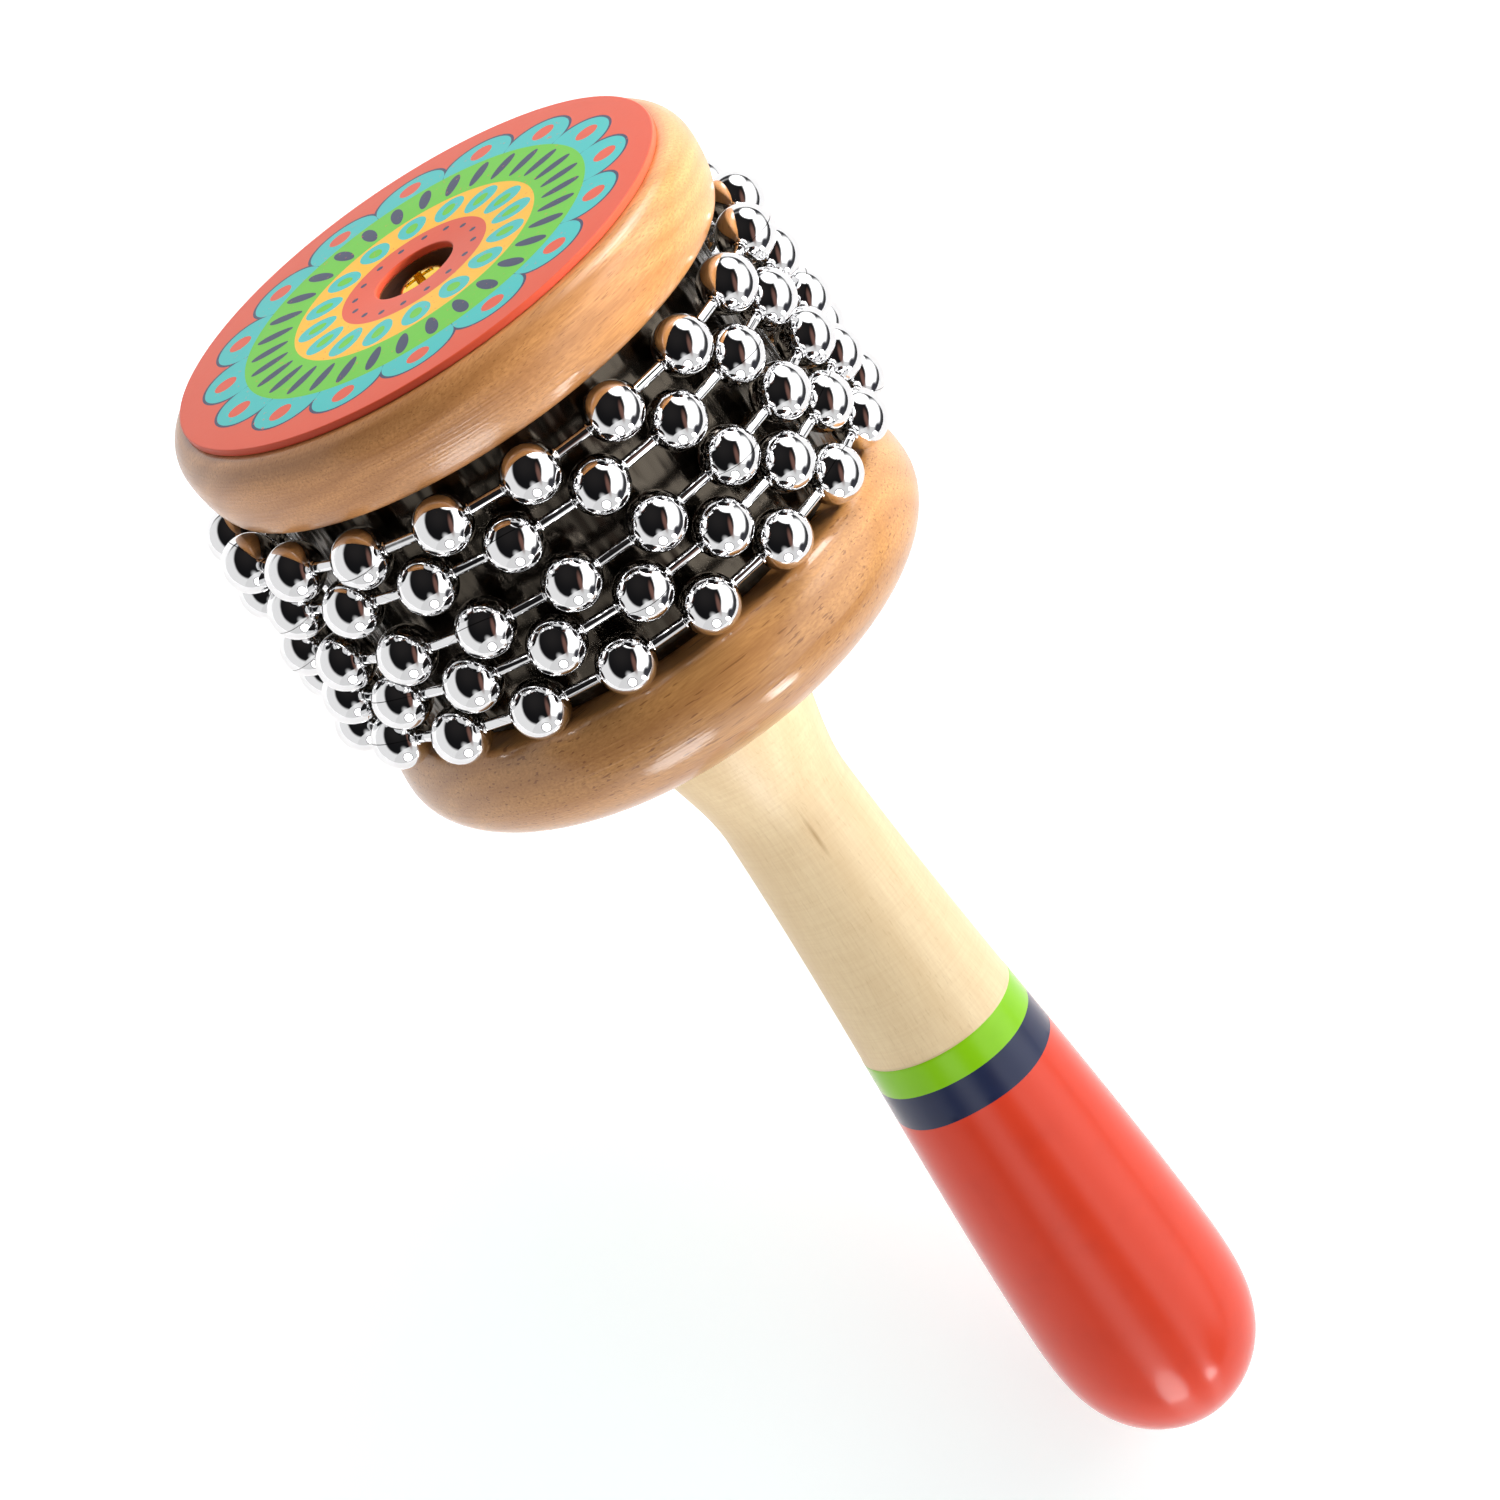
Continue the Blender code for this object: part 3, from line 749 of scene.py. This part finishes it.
@dataclass
class Head:
    """The clamped head: two turned discs, the drum and its sleeve between them, the facing and the screw."""

    upper_crown_drop: float = 4.4 * MM
    upper_top_inset: float = 3.2 * MM
    upper_foot_inset: float = 2.5 * MM
    lower_crown_drop: float = 7.6 * MM
    lower_top_inset: float = 3.4 * MM
    lower_flat_diameter: float = 29.0 * MM
    tenon_bore: float = 16.6 * MM
    screw_bore: float = 4.8 * MM
    recess_diameter: float = 12.0 * MM
    recess_depth: float = 3.0 * MM
    facing_easing: float = 0.22 * MM
    glue_film: float = 0.03 * MM
    tenon_clearance: float = 0.3 * MM
    sleeve_wall: float = 0.6 * MM
    edge_easing: float = 0.15 * MM
    screw_head_height: float = 2.6 * MM
    screw_crown_diameter: float = 2.6 * MM
    screw_rim_height: float = 1.4 * MM
    screw_shank_diameter: float = 4.0 * MM
    screw_tip_length: float = 3.0 * MM
    drive_width: float = 4.2 * MM
    drive_slot: float = 1.0 * MM
    drive_depth: float = 1.6 * MM
    drive_easing: float = 0.12 * MM
    segments: int = 192
    screw_segments: int = 144
    screw_crown_rows: int = 18

    def settle_turned(self, name: str, outline: np.ndarray, finish: Finish, node: str) -> None:
        """Turns an outline about the axis, and settles the piece on the head's body.

        Args:
            name: Name of the piece.
            outline: Points as (radius, height).
            finish: Its finish.
            node: Solid that it stands for.
        """
        settle(grid_piece(name, turned(outline, self.segments), True, [finish]), HEAD_BODY, node)

    def lower_disc(self) -> None:
        """Turns the lower disc: rounded above its widest line, a quarter ellipse dome below."""
        low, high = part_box("lower_disc")
        rim, crown = high.x, high.z - self.lower_crown_drop
        outline = np.concatenate([
            [(self.tenon_bore / 2, high.z)],
            quarter_arc((rim - self.lower_top_inset, high.z), (rim, crown), True),
            quarter_arc((rim, crown), (self.lower_flat_diameter / 2, low.z), False, 26)[1:],
            [(self.tenon_bore / 2, low.z)],
        ])
        self.settle_turned("lower_disc_turned", outline, LOWER_BEECH, "lower_disc")

    def upper_disc(self) -> None:
        """Turns the upper disc: two quarter ellipses round its edge, and the recess for the screw's head."""
        low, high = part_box("upper_disc")
        rim, crown = high.x, high.z - self.upper_crown_drop
        wall, floor = self.recess_diameter / 2, high.z - self.recess_depth
        outline = np.concatenate([
            [(self.screw_bore / 2, floor), (wall, floor), (wall, high.z)],
            quarter_arc((rim - self.upper_top_inset, high.z), (rim, crown), True),
            quarter_arc((rim, crown), (rim - self.upper_foot_inset, low.z), False)[1:],
            [(self.screw_bore / 2, low.z)],
        ])
        # The recess's floor and wall take the dark wood that is painted shade
        recess = (np.arange(len(outline)) < 2).astype(int)
        points = turned(outline, self.segments)
        piece = grid_piece("upper_disc_turned", points, True, [UPPER_BEECH, RECESS_SHADE_BEECH], recess)
        settle(piece, HEAD_BODY, "upper_disc")

    def facing(self) -> None:
        """Makes the facing: a thin ring with eased edges, glued down on the upper disc."""
        high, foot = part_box("top_facing")[1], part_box("upper_disc")[1].z + self.glue_film
        hole = self.recess_diameter / 2
        corners = [(hole, high.z), (high.x, high.z), (high.x, foot), (hole, foot)]
        outline = eased([(*corner, self.facing_easing) for corner in corners])
        self.settle_turned("facing_printed", outline, FACING_PRINT, "top_facing")

    def drum(self) -> None:
        """Turns the drum, with the tenon's socket below and the screw's bore above."""
        low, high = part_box("core_drum")
        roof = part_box("handle")[1].z + self.tenon_clearance
        socket, bore = self.tenon_bore / 2, self.screw_bore / 2
        corners = [(bore, high.z), (high.x, high.z), (high.x, low.z)]
        corners += [(socket, low.z), (socket, roof), (bore, roof)]
        outline = eased([(*corner, self.edge_easing) for corner in corners])
        piece = grid_piece("drum_turned", turned(outline, self.segments // 2), True, [RAW_BEECH])
        settle(piece, HEAD_BODY, "core_drum")

    def sleeve(self) -> None:
        """Makes the sleeve: a thin rolled wall with eased rims."""
        low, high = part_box("steel_sleeve")
        inner = high.x - self.sleeve_wall
        corners = [(inner, high.z), (high.x, high.z), (high.x, low.z), (inner, low.z)]
        outline = eased([(*corner, self.edge_easing) for corner in corners])
        self.settle_turned("sleeve_rolled", outline, SLEEVE_STEEL, "steel_sleeve")

    def screw(self) -> None:
        """Makes the screw: a turned outline whose crown sinks by a cross of two slots.

        The sink is the drive's depth where a point's smaller offset lies inside the slot and its larger one
        inside the drive's width, eased over a narrow edge.
        """
        low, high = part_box("assembly_screw")
        seat, rim = high.z - self.screw_head_height, high.x
        crown, shank = self.screw_crown_diameter / 2, self.screw_shank_diameter / 2
        top = np.linspace(0.0, crown, self.screw_crown_rows)
        outline = np.concatenate([
            np.stack([top, np.full_like(top, high.z)], axis=1),
            quarter_arc((crown, high.z), (rim, seat + self.screw_rim_height), True, 24)[1:],
            [(rim, seat), (shank, seat), (shank, low.z + self.screw_tip_length), (0.0, low.z)],
        ])
        points = turned(outline, self.screw_segments)
        offsets = np.sort(np.abs(points[..., :2]), axis=-1)
        inside = np.minimum(self.drive_slot / 2 - offsets[..., 0], self.drive_width / 2 - offsets[..., 1])
        sink = np.clip(inside / self.drive_easing + 0.5, 0.0, 1.0) * self.drive_depth
        height = points[..., 2]
        points[..., 2] = np.where(height > seat, np.minimum(height, high.z - sink), height)
        piece = grid_piece("screw_brass", points, False, [SCREW_BRASS])
        settle(piece, HEAD_BODY, "assembly_screw")

    def build(self) -> None:
        """Makes every piece of the head."""
        self.lower_disc()
        self.upper_disc()
        self.facing()
        self.drum()
        self.sleeve()
        self.screw()


@dataclass
class Handle:
    """The turned handle, bare maple above, with a green band, a navy band and a red dip below."""

    seat_gap: float = 0.3 * MM
    shoulder_diameter: float = 25.2 * MM
    waist_diameter: float = 19.3 * MM
    waist_drop: float = 20.0 * MM
    belly_diameter: float = 30.3 * MM
    cap_length: float = 23.5 * MM
    cap_fullness: float = 3.0
    cap_roundness: float = 1.7
    tenon_diameter: float = 16.0 * MM
    pilot_diameter: float = 4.8 * MM
    pilot_depth: float = 21.5 * MM
    red_dip: float = 65.7 * MM
    navy_band: float = 5.4 * MM
    green_band: float = 4.7 * MM
    film: float = 0.06 * MM
    edge_sway: float = 0.14 * MM
    edge_waves: int = 2
    edge_phase: float = 1.3
    segments: int = 160

    def levels(self) -> tuple[float, float]:
        """Heights of the round end and of the shoulder under the lower disc."""
        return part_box("handle")[0].z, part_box("lower_disc")[0].z - self.seat_gap

    def radius(self, height: np.ndarray) -> np.ndarray:
        """Radius at each height: half a cosine to the waist, an eased taper to the belly, a full round end.

        Args:
            height: Heights between the end and the shoulder.

        Returns:
            The radii.
        """
        end, shoulder = self.levels()
        waist, belly = shoulder - self.waist_drop, end + self.cap_length
        rise = (1 + np.cos(np.pi * (shoulder - height) / self.waist_drop)) / 2
        flare = self.waist_diameter + (self.shoulder_diameter - self.waist_diameter) * rise
        share = np.clip((waist - height) / (waist - belly), 0.0, 1.0)
        swell = (share + share**2 * (3 - 2 * share)) / 2
        grip = self.waist_diameter + (self.belly_diameter - self.waist_diameter) * swell
        fall = np.clip((belly - height) / self.cap_length, 0.0, 1.0)
        cap = self.belly_diameter * (1 - fall**self.cap_fullness) ** (1 / self.cap_roundness)
        return np.select([height >= waist, height >= belly], [flare, grip], cap) / 2

    def paint_edges(self) -> np.ndarray:
        """Heights of the three paint lines, from the top of the green band down."""
        red = self.levels()[0] + self.red_dip
        return np.array([red + self.navy_band + self.green_band, red + self.navy_band, red])

    def outline(self) -> np.ndarray:
        """The handle's outline from the pilot hole's floor over the tenon and down to the round end.

        Under paint the wood's radius grows by the film's thickness, over a step as high as the film is thick.

        Returns:
            Points as (radius, height).
        """
        end, shoulder = self.levels()
        top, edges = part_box("handle")[1].z, self.paint_edges()
        cap = np.sin(np.linspace(0.0, np.pi / 2, 40))
        heights = np.concatenate([
            np.linspace(shoulder, end + self.cap_length, 130),
            end + self.cap_length * (1 - cap[1:]),
            edges + self.film,
            edges - self.film,
        ])
        heights = np.sort(heights)[::-1]
        painted = (heights < edges[0]) & (heights > end)
        radii = self.radius(heights) + np.where(painted, self.film, 0.0)
        pilot, tenon = self.pilot_diameter / 2, self.tenon_diameter / 2
        floor = top - self.pilot_depth
        inner = [(0.0, floor), (pilot, floor), (pilot, top), (tenon, top), (tenon, shoulder)]
        return np.concatenate([inner, np.stack([radii, heights], axis=1)])

    def build(self) -> None:
        """Makes the handle with its paint, whose edges sway by a slow sine round the handle."""
        outline, edges = self.outline(), self.paint_edges()
        points = turned(outline, self.segments)
        turn = 2 * np.pi * np.arange(self.segments)[:, None] / self.segments
        for number, edge in enumerate(edges):
            # The two points of a paint step lie one film above its line and one below
            near = np.abs(outline[:, 1] - edge) <= 1.5 * self.film
            sway = np.sin((number + self.edge_waves) * turn + self.edge_phase * number)
            points[..., 2] += near * self.edge_sway * sway
        middle = (outline[:-1, 1] + outline[1:, 1]) / 2
        zone = np.searchsorted(-edges, -middle)
        finishes = [MAPLE, GREEN_ENAMEL, NAVY_ENAMEL, RED_ENAMEL]
        piece = grid_piece("handle_turned", points, False, finishes, zone)
        settle(piece, HEAD_BODY, "handle")


@dataclass
class BallChain:
    """One closed loop of ball chain, hanging slack: hollow beads on short straight rods.

    Attributes:
        number: Number of the loop, from the top down.
        turn: How far the loop is turned from the front, in bead spacings.
        bead_diameter: Diameter of a bead.
        slack: Play between the loop and the sleeve when their axes meet.
        rest_gap: Gap left where the loop lies on the front of the sleeve.
        spacing: Distance from bead to bead, about.
        rod_diameter: Diameter of the rods.
        lip_diameter: Diameter of the turned-in lip round a bead's hole.
        lip_height: How far the lip stands out.
        sides: Points round a bead.
        bead_rows: Rows of points from a bead's one lip to the other.
        seam_step: Turn of the seam from bead to bead, the golden angle.
        seam_shift: Turn of the first seam from loop to loop, as a share of a full turn.
        lip_start: Where the lip's round leaves the sphere, as a share of its half turn.
    """

    number: int
    turn: float
    bead_diameter: float = 8.2 * MM
    slack: float = 2.5 * MM
    rest_gap: float = 0.3 * MM
    spacing: float = 13.2 * MM
    rod_diameter: float = 1.5 * MM
    lip_diameter: float = 2.0 * MM
    lip_height: float = 0.22 * MM
    sides: int = 48
    bead_rows: int = 26
    seam_step: float = 2.39996
    seam_shift: float = 0.37
    lip_start: float = 0.15

    def profile(self, bead: float) -> tuple[np.ndarray, np.ndarray]:
        """One bead's half outline: a sphere to its lip, the lip's small round, then the rod's start.

        Args:
            bead: Radius of the bead.

        Returns:
            Angles along the sphere's meridian, and the lip's points as (along the rod, radius).
        """
        lip = math.acos(self.lip_diameter / 2 / bead)
        angles = lip * np.sin(np.linspace(-np.pi / 2, np.pi / 2, self.bead_rows))
        start = bead * math.sin(lip)
        round_off = np.linspace(self.lip_start, 1.0, 6) * np.pi
        middle = (self.lip_diameter + self.rod_diameter) / 4
        half = (self.lip_diameter - self.rod_diameter) / 4
        out = start + self.lip_height * np.sin(round_off)
        return angles, np.stack([out, middle + half * np.cos(round_off)], axis=1)

    def build(self) -> None:
        """Sweeps the outline round the loop.

        Each cross-section is a ring about its own direction: a bead's rings turn from the rod before it, over
        the loop's tangent, to the rod after it, and all lie on the bead's sphere. The surface map counts
        metres round the bead from its seam, which is turned by the golden angle from bead to bead.
        """
        node = f"chain_{self.number}"
        low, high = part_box(node)
        bead, level = self.bead_diameter / 2, (high.z + low.z) / 2
        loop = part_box("steel_sleeve")[1].x + self.slack + bead
        back = self.slack - self.rest_gap
        count = round(2 * math.pi * loop / self.spacing)
        step = 2 * np.pi / count
        place = -np.pi / 2 + (np.arange(count) + self.turn) * step
        angles, lip = self.profile(bead)
        rod = np.ones(len(lip))
        lean = np.concatenate([-rod, np.sin(angles) / np.sin(angles[-1]), rod])
        along = np.concatenate([-lip[::-1, 0], bead * np.sin(angles), lip[:, 0]])
        width = np.concatenate([lip[::-1, 1], bead * np.cos(angles), lip[:, 1]])
        heading = place[:, None] + np.pi / 2 + lean * step / 2
        direction = np.stack([np.cos(heading), np.sin(heading), np.zeros_like(heading)], axis=-1)
        across = np.stack([direction[..., 1], -direction[..., 0], np.zeros_like(heading)], axis=-1)
        ring = [loop * np.cos(place), back + loop * np.sin(place), np.full(count, level)]
        spine = (np.stack(ring, axis=-1)[:, None] + along[:, None] * direction).reshape(-1, 1, 3)
        side = 2 * np.pi * np.arange(self.sides) / self.sides
        upright = np.array([0.0, 0.0, 1.0])
        spokes = np.cos(side)[:, None] * across[..., None, :] + np.sin(side)[:, None] * upright
        points = spine + (width[:, None, None] * spokes).reshape(-1, self.sides, 3)
        rows = len(width)
        around = np.arange(self.sides + 1) / self.sides
        first = self.seam_shift * self.number
        seam = np.repeat(np.arange(count) * self.seam_step / (2 * np.pi) + first, rows)
        distance = ((around - seam[:, None]) % 1.0 - 0.5) * 2 * np.pi * bead
        forward = np.broadcast_to(np.tile(along, count)[:, None], distance.shape)
        unrolled = np.stack([distance, forward], axis=-1)
        unrolled = np.concatenate([unrolled, unrolled[:1]])
        piece = grid_piece(f"ball_chain_{self.number}", points, True, [CHAIN_NICKEL], unrolled=unrolled)
        settle(piece, f"loop_{self.number}", node)


# Studio


@dataclass(frozen=True)
class Panel:
    """An oval of light or dark in the room, placed as a bead that faces the camera mirrors it.

    Attributes:
        middle: Middle of its image in the bead, right and up, in bead radii.
        half: Half its image's width and height, in bead radii.
        brightness: Linear red, green and blue, where 1 is white.
        turn: Turn of the image, anticlockwise, in degrees.
        soft: Width of its edge, as a share of its size.
    """

    middle: tuple[float, float]
    half: tuple[float, float]
    brightness: tuple[float, float, float]
    turn: float = 0.0
    soft: float = 0.08


@dataclass(frozen=True)
class Lamp:
    """A soft lamp for the matt surfaces; the mirrors show the room's panels in its place.

    Attributes:
        name: Name of the lamp.
        towards: Direction to the lamp, as right, up and towards the camera.
        distance: Distance from the point at which it is aimed.
        width: Width of its round diffuser.
        strength: Light that falls on a surface that faces the lamp, where 1 makes white paper white.
        level: Height on the axis at which it is aimed.
        spread: Angle of its beam, in degrees; a grid on the lamp narrows it.
    """

    name: str
    towards: tuple[float, float, float]
    distance: float
    width: float
    strength: float
    level: float = 56.6 * MM
    spread: float = 180.0

    def power(self) -> float:
        """Power in watts: a small round lamp lights a surface at distance d by power / (pi d)^2."""
        return self.strength * (math.pi * self.distance) ** 2


@dataclass
class Studio:
    """Camera, white table and lights, as the object was photographed: from above, lying on a table."""

    aim: tuple[float, float, float] = (0.0, 0.0, 56.6 * MM)
    distance: float = 879.3 * MM
    elevation: float = 23.36
    roll: float = 35.0
    lens: float = 156.0
    table_width: float = 600 * MM
    table_gap: float = 0.8 * MM
    table_colour: str = "#ebebeb"
    table_glow: float = 0.5
    glow_colour: str = "#f0ffff"
    panels: tuple[Panel, ...] = (
        Panel((0.04, 0.03), (0.80, 0.80), (0.05, 0.05, 0.055), soft=0.03),
        Panel((-0.06, -0.05), (0.74, 0.74), (0.92, 0.92, 0.92), soft=0.03),
        Panel((0.46, 0.15), (0.23, 0.44), (2.0, 2.0, 2.0), turn=8.0, soft=0.2),
        Panel((0.40, 0.30), (0.06, 0.11), (5.0, 5.0, 5.0), turn=8.0, soft=0.5),
        Panel((-0.10, 0.07), (0.45, 0.60), (0.008, 0.008, 0.009), turn=10.0),
        Panel((-0.16, 0.22), (0.26, 0.32), (0.02, 0.018, 0.018), turn=20.0, soft=0.9),
        Panel((0.20, -0.62), (0.50, 0.27), (0.8, 0.8, 0.8), turn=33.0, soft=0.05),
        Panel((0.26, -0.04), (0.06, 0.28), (0.20, 0.10, 0.08), turn=14.0, soft=0.6),
        Panel((0.08, 0.62), (0.23, 0.15), (4.2, 4.2, 4.2), turn=-15.0, soft=0.3),
        Panel((0.10, 0.62), (0.08, 0.08), (16.0, 16.0, 16.0), turn=-15.0, soft=0.5),
        Panel((0.64, -0.30), (0.10, 0.17), (0.05, 0.05, 0.06), soft=0.4),
        Panel((0.15, -0.46), (0.09, 0.16), (1.0, 1.0, 1.0), turn=35.0, soft=0.7),
        Panel((0.56, -0.46), (0.06, 0.05), (20.0, 20.0, 20.0), soft=0.4),
        Panel((0.21, -0.62), (0.16, 0.15), (0.25, 0.25, 0.25), soft=0.1),
        Panel((0.21, -0.62), (0.125, 0.115), (9.0, 9.0, 9.0), soft=0.12),
    )
    lamps: tuple[Lamp, ...] = (
        Lamp("lamp_key", (0.75, 0.45, 0.48), 0.9, 0.7, 0.04),
        Lamp("lamp_head", (0.80, 0.55, 0.30), 0.35, 0.06, 0.04, 118 * MM, 24.0),
        Lamp("lamp_fill", (-0.6, -0.3, 0.74), 0.9, 0.7, 0.16),
        Lamp("lamp_top", (-0.2, 0.92, 0.34), 0.9, 0.4, 0.11),
    )

    def axes(self) -> np.ndarray:
        """The camera's right, up and backward directions, as rows."""
        tilt, roll = math.radians(self.elevation), math.radians(self.roll)
        level = np.array([1.0, 0.0, 0.0])
        upright = np.array([0.0, math.sin(tilt), math.cos(tilt)])
        right = math.cos(roll) * level - math.sin(roll) * upright
        up = math.sin(roll) * level + math.cos(roll) * upright
        return np.stack([right, up, np.cross(right, up)])

    def posed(self, name: str, data: Any, position: np.ndarray, axes: np.ndarray) -> bpy.types.Object:
        """Adds an object at a position, with its own axes along the given rows.

        Args:
            name: Name of the object.
            data: Its camera, lamp or mesh.
            position: Where it stands.
            axes: Its right, up and backward directions.

        Returns:
            The object.
        """
        placed = bpy.data.objects.new(name, data)
        placed.matrix_world = Matrix.Translation(Vector(position)) @ Matrix(axes.T.tolist()).to_4x4()
        bpy.context.scene.collection.objects.link(placed)
        return placed

    def camera(self) -> None:
        """Adds the camera at the photograph's view."""
        data = bpy.data.cameras.new("camera")
        data.lens = self.lens
        axes = self.axes()
        position = np.array(self.aim) + self.distance * axes[2]
        bpy.context.scene.camera = self.posed("camera", data, position, axes)

    def light(self) -> None:
        """Adds the lamps, hidden from the camera and from mirrors."""
        axes = self.axes()
        for lamp in self.lamps:
            data = bpy.data.lights.new(lamp.name, "AREA")
            data.shape, data.size, data.energy = "DISK", lamp.width, lamp.power()
            data.spread = math.radians(lamp.spread)
            towards = np.array(lamp.towards) @ axes
            towards /= np.linalg.norm(towards)
            right = np.cross(axes[1], towards)
            right /= np.linalg.norm(right)
            own = np.stack([right, np.cross(towards, right), towards])
            position = np.array([0.0, 0.0, lamp.level]) + lamp.distance * towards
            placed = self.posed(lamp.name, data, position, own)
            placed.visible_camera = placed.visible_glossy = False

    def table(self) -> None:
        """Adds the white table, square to the view, just under the handle's lowest point.

        Seen from below it is clear, so that it never hides the object. It is a little brighter to the camera
        and in mirrors, where the room is white.
        """
        axes, outline = self.axes(), Handle().outline()
        tilt = math.radians(self.elevation)
        lowest = float(np.min(outline[:, 1] * math.sin(tilt) - outline[:, 0] * math.cos(tilt)))
        middle = np.array(self.aim) + (lowest - self.table_gap - np.array(self.aim) @ axes[2]) * axes[2]
        half = self.table_width / 2
        square = np.array([(-half, -half, 0), (half, -half, 0), (half, half, 0), (-half, half, 0)])
        corners = square @ axes + middle
        mesh = bpy.data.meshes.new("table")
        mesh.from_pydata(corners, [], [(0, 1, 2, 3)])
        material = bpy.data.materials.new("table_white")
        material.use_nodes = True
        tree = material.node_tree
        tree.nodes.clear()
        path = add_node(tree, "ShaderNodeLightPath")
        seen, mirrored = path.outputs["Is Camera Ray"], path.outputs["Is Glossy Ray"]
        below = add_node(tree, "ShaderNodeNewGeometry").outputs["Backfacing"]
        hidden = add_node(tree, "ShaderNodeMath", {0: seen, 1: below}, operation="MULTIPLY")
        either = add_node(tree, "ShaderNodeMath", {0: seen, 1: mirrored}, operation="MAXIMUM")
        level = {0: either.outputs[0], 1: self.table_glow}
        glow = add_node(tree, "ShaderNodeMath", level, operation="MULTIPLY")
        paper = add_node(tree, "ShaderNodeBsdfDiffuse", {"Color": linear(self.table_colour)})
        tints = {0: mirrored, MIX_A: linear(self.glow_colour), MIX_B: WHITE}
        tint = add_node(tree, "ShaderNodeMix", tints, data_type="RGBA").outputs[MIX_RESULT]
        shine = add_node(tree, "ShaderNodeEmission", {"Color": tint, "Strength": glow.outputs[0]})
        both = add_node(tree, "ShaderNodeAddShader", {0: paper.outputs[0], 1: shine.outputs[0]})
        clear = add_node(tree, "ShaderNodeBsdfTransparent")
        sides = {0: hidden.outputs[0], 1: both.outputs[0], 2: clear.outputs[0]}
        surface = add_node(tree, "ShaderNodeMixShader", sides)
        add_node(tree, "ShaderNodeOutputMaterial", {"Surface": surface.outputs[0]})
        mesh.materials.append(material)
        table = bpy.data.objects.new("table", mesh)
        bpy.context.scene.collection.objects.link(table)

    def surroundings(self) -> None:
        """Adds the room: white to the camera, and its panels one over another to everything else.

        A direction (right, up, backward) shows in the bead at (right, up) / sqrt(2 + 2 backward). The sum is
        kept a little above 0 for the direction straight behind the bead.
        """
        world = bpy.data.worlds.new("studio")
        bpy.context.scene.world = world
        world.use_nodes = True
        tree = world.node_tree
        tree.nodes.clear()
        way = add_node(tree, "ShaderNodeTexCoord").outputs["Generated"]
        parts = [{0: way, 1: axis} for axis in self.axes().tolist()]
        right, up, backward = (
            add_node(tree, "ShaderNodeVectorMath", part, operation="DOT_PRODUCT").outputs["Value"]
            for part in parts
        )
        depth = add_node(tree, "ShaderNodeMath", {0: backward, 1: 2.0, 2: 2.0001}, operation="MULTIPLY_ADD")
        shrink = add_node(tree, "ShaderNodeMath", {0: depth.outputs[0]}, operation="INVERSE_SQRT")
        flat = add_node(tree, "ShaderNodeCombineXYZ", {"X": right, "Y": up})
        shrunk = {0: flat.outputs[0], "Scale": shrink.outputs[0]}
        image = add_node(tree, "ShaderNodeVectorMath", shrunk, operation="SCALE").outputs[0]
        colour = WHITE
        for panel in self.panels:
            fit = {
                "Vector": image,
                "Location": (*panel.middle, 0.0),
                "Rotation": (0.0, 0.0, math.radians(panel.turn)),
                "Scale": (*panel.half, 1.0),
            }
            own = add_node(tree, "ShaderNodeMapping", fit, vector_type="TEXTURE").outputs[0]
            reach = add_node(tree, "ShaderNodeVectorMath", {0: own}, operation="LENGTH").outputs["Value"]
            edge = {"Value": reach, "From Min": 1 + panel.soft, "From Max": 1 - panel.soft}
            inside = add_node(tree, "ShaderNodeMapRange", edge, interpolation_type="SMOOTHSTEP").outputs[0]
            layer = {0: inside, MIX_A: colour, MIX_B: (*panel.brightness, 1.0)}
            colour = add_node(tree, "ShaderNodeMix", layer, data_type="RGBA").outputs[MIX_RESULT]
        seen = add_node(tree, "ShaderNodeLightPath").outputs["Is Camera Ray"]
        shown = add_node(tree, "ShaderNodeMix", {0: seen, MIX_A: colour, MIX_B: WHITE}, data_type="RGBA")
        shine = add_node(tree, "ShaderNodeBackground", {"Color": shown.outputs[MIX_RESULT]})
        add_node(tree, "ShaderNodeOutputWorld", {"Surface": shine.outputs[0]})

    def build(self) -> None:
        """Sets up the camera, the table, the lamps and the room."""
        bpy.context.scene.view_settings.view_transform = "Standard"
        self.camera()
        self.table()
        self.light()
        self.surroundings()


def main() -> None:
    """Builds the studio, the head, the handle and the five loops."""
    logging.basicConfig(level=logging.INFO, format="%(name)s: %(message)s")
    Studio().build()
    Head().build()
    Handle().build()
    for number, turn in enumerate(LOOP_TURNS, start=1):
        BallChain(number, turn).build()


if __name__ == "__main__":
    main()
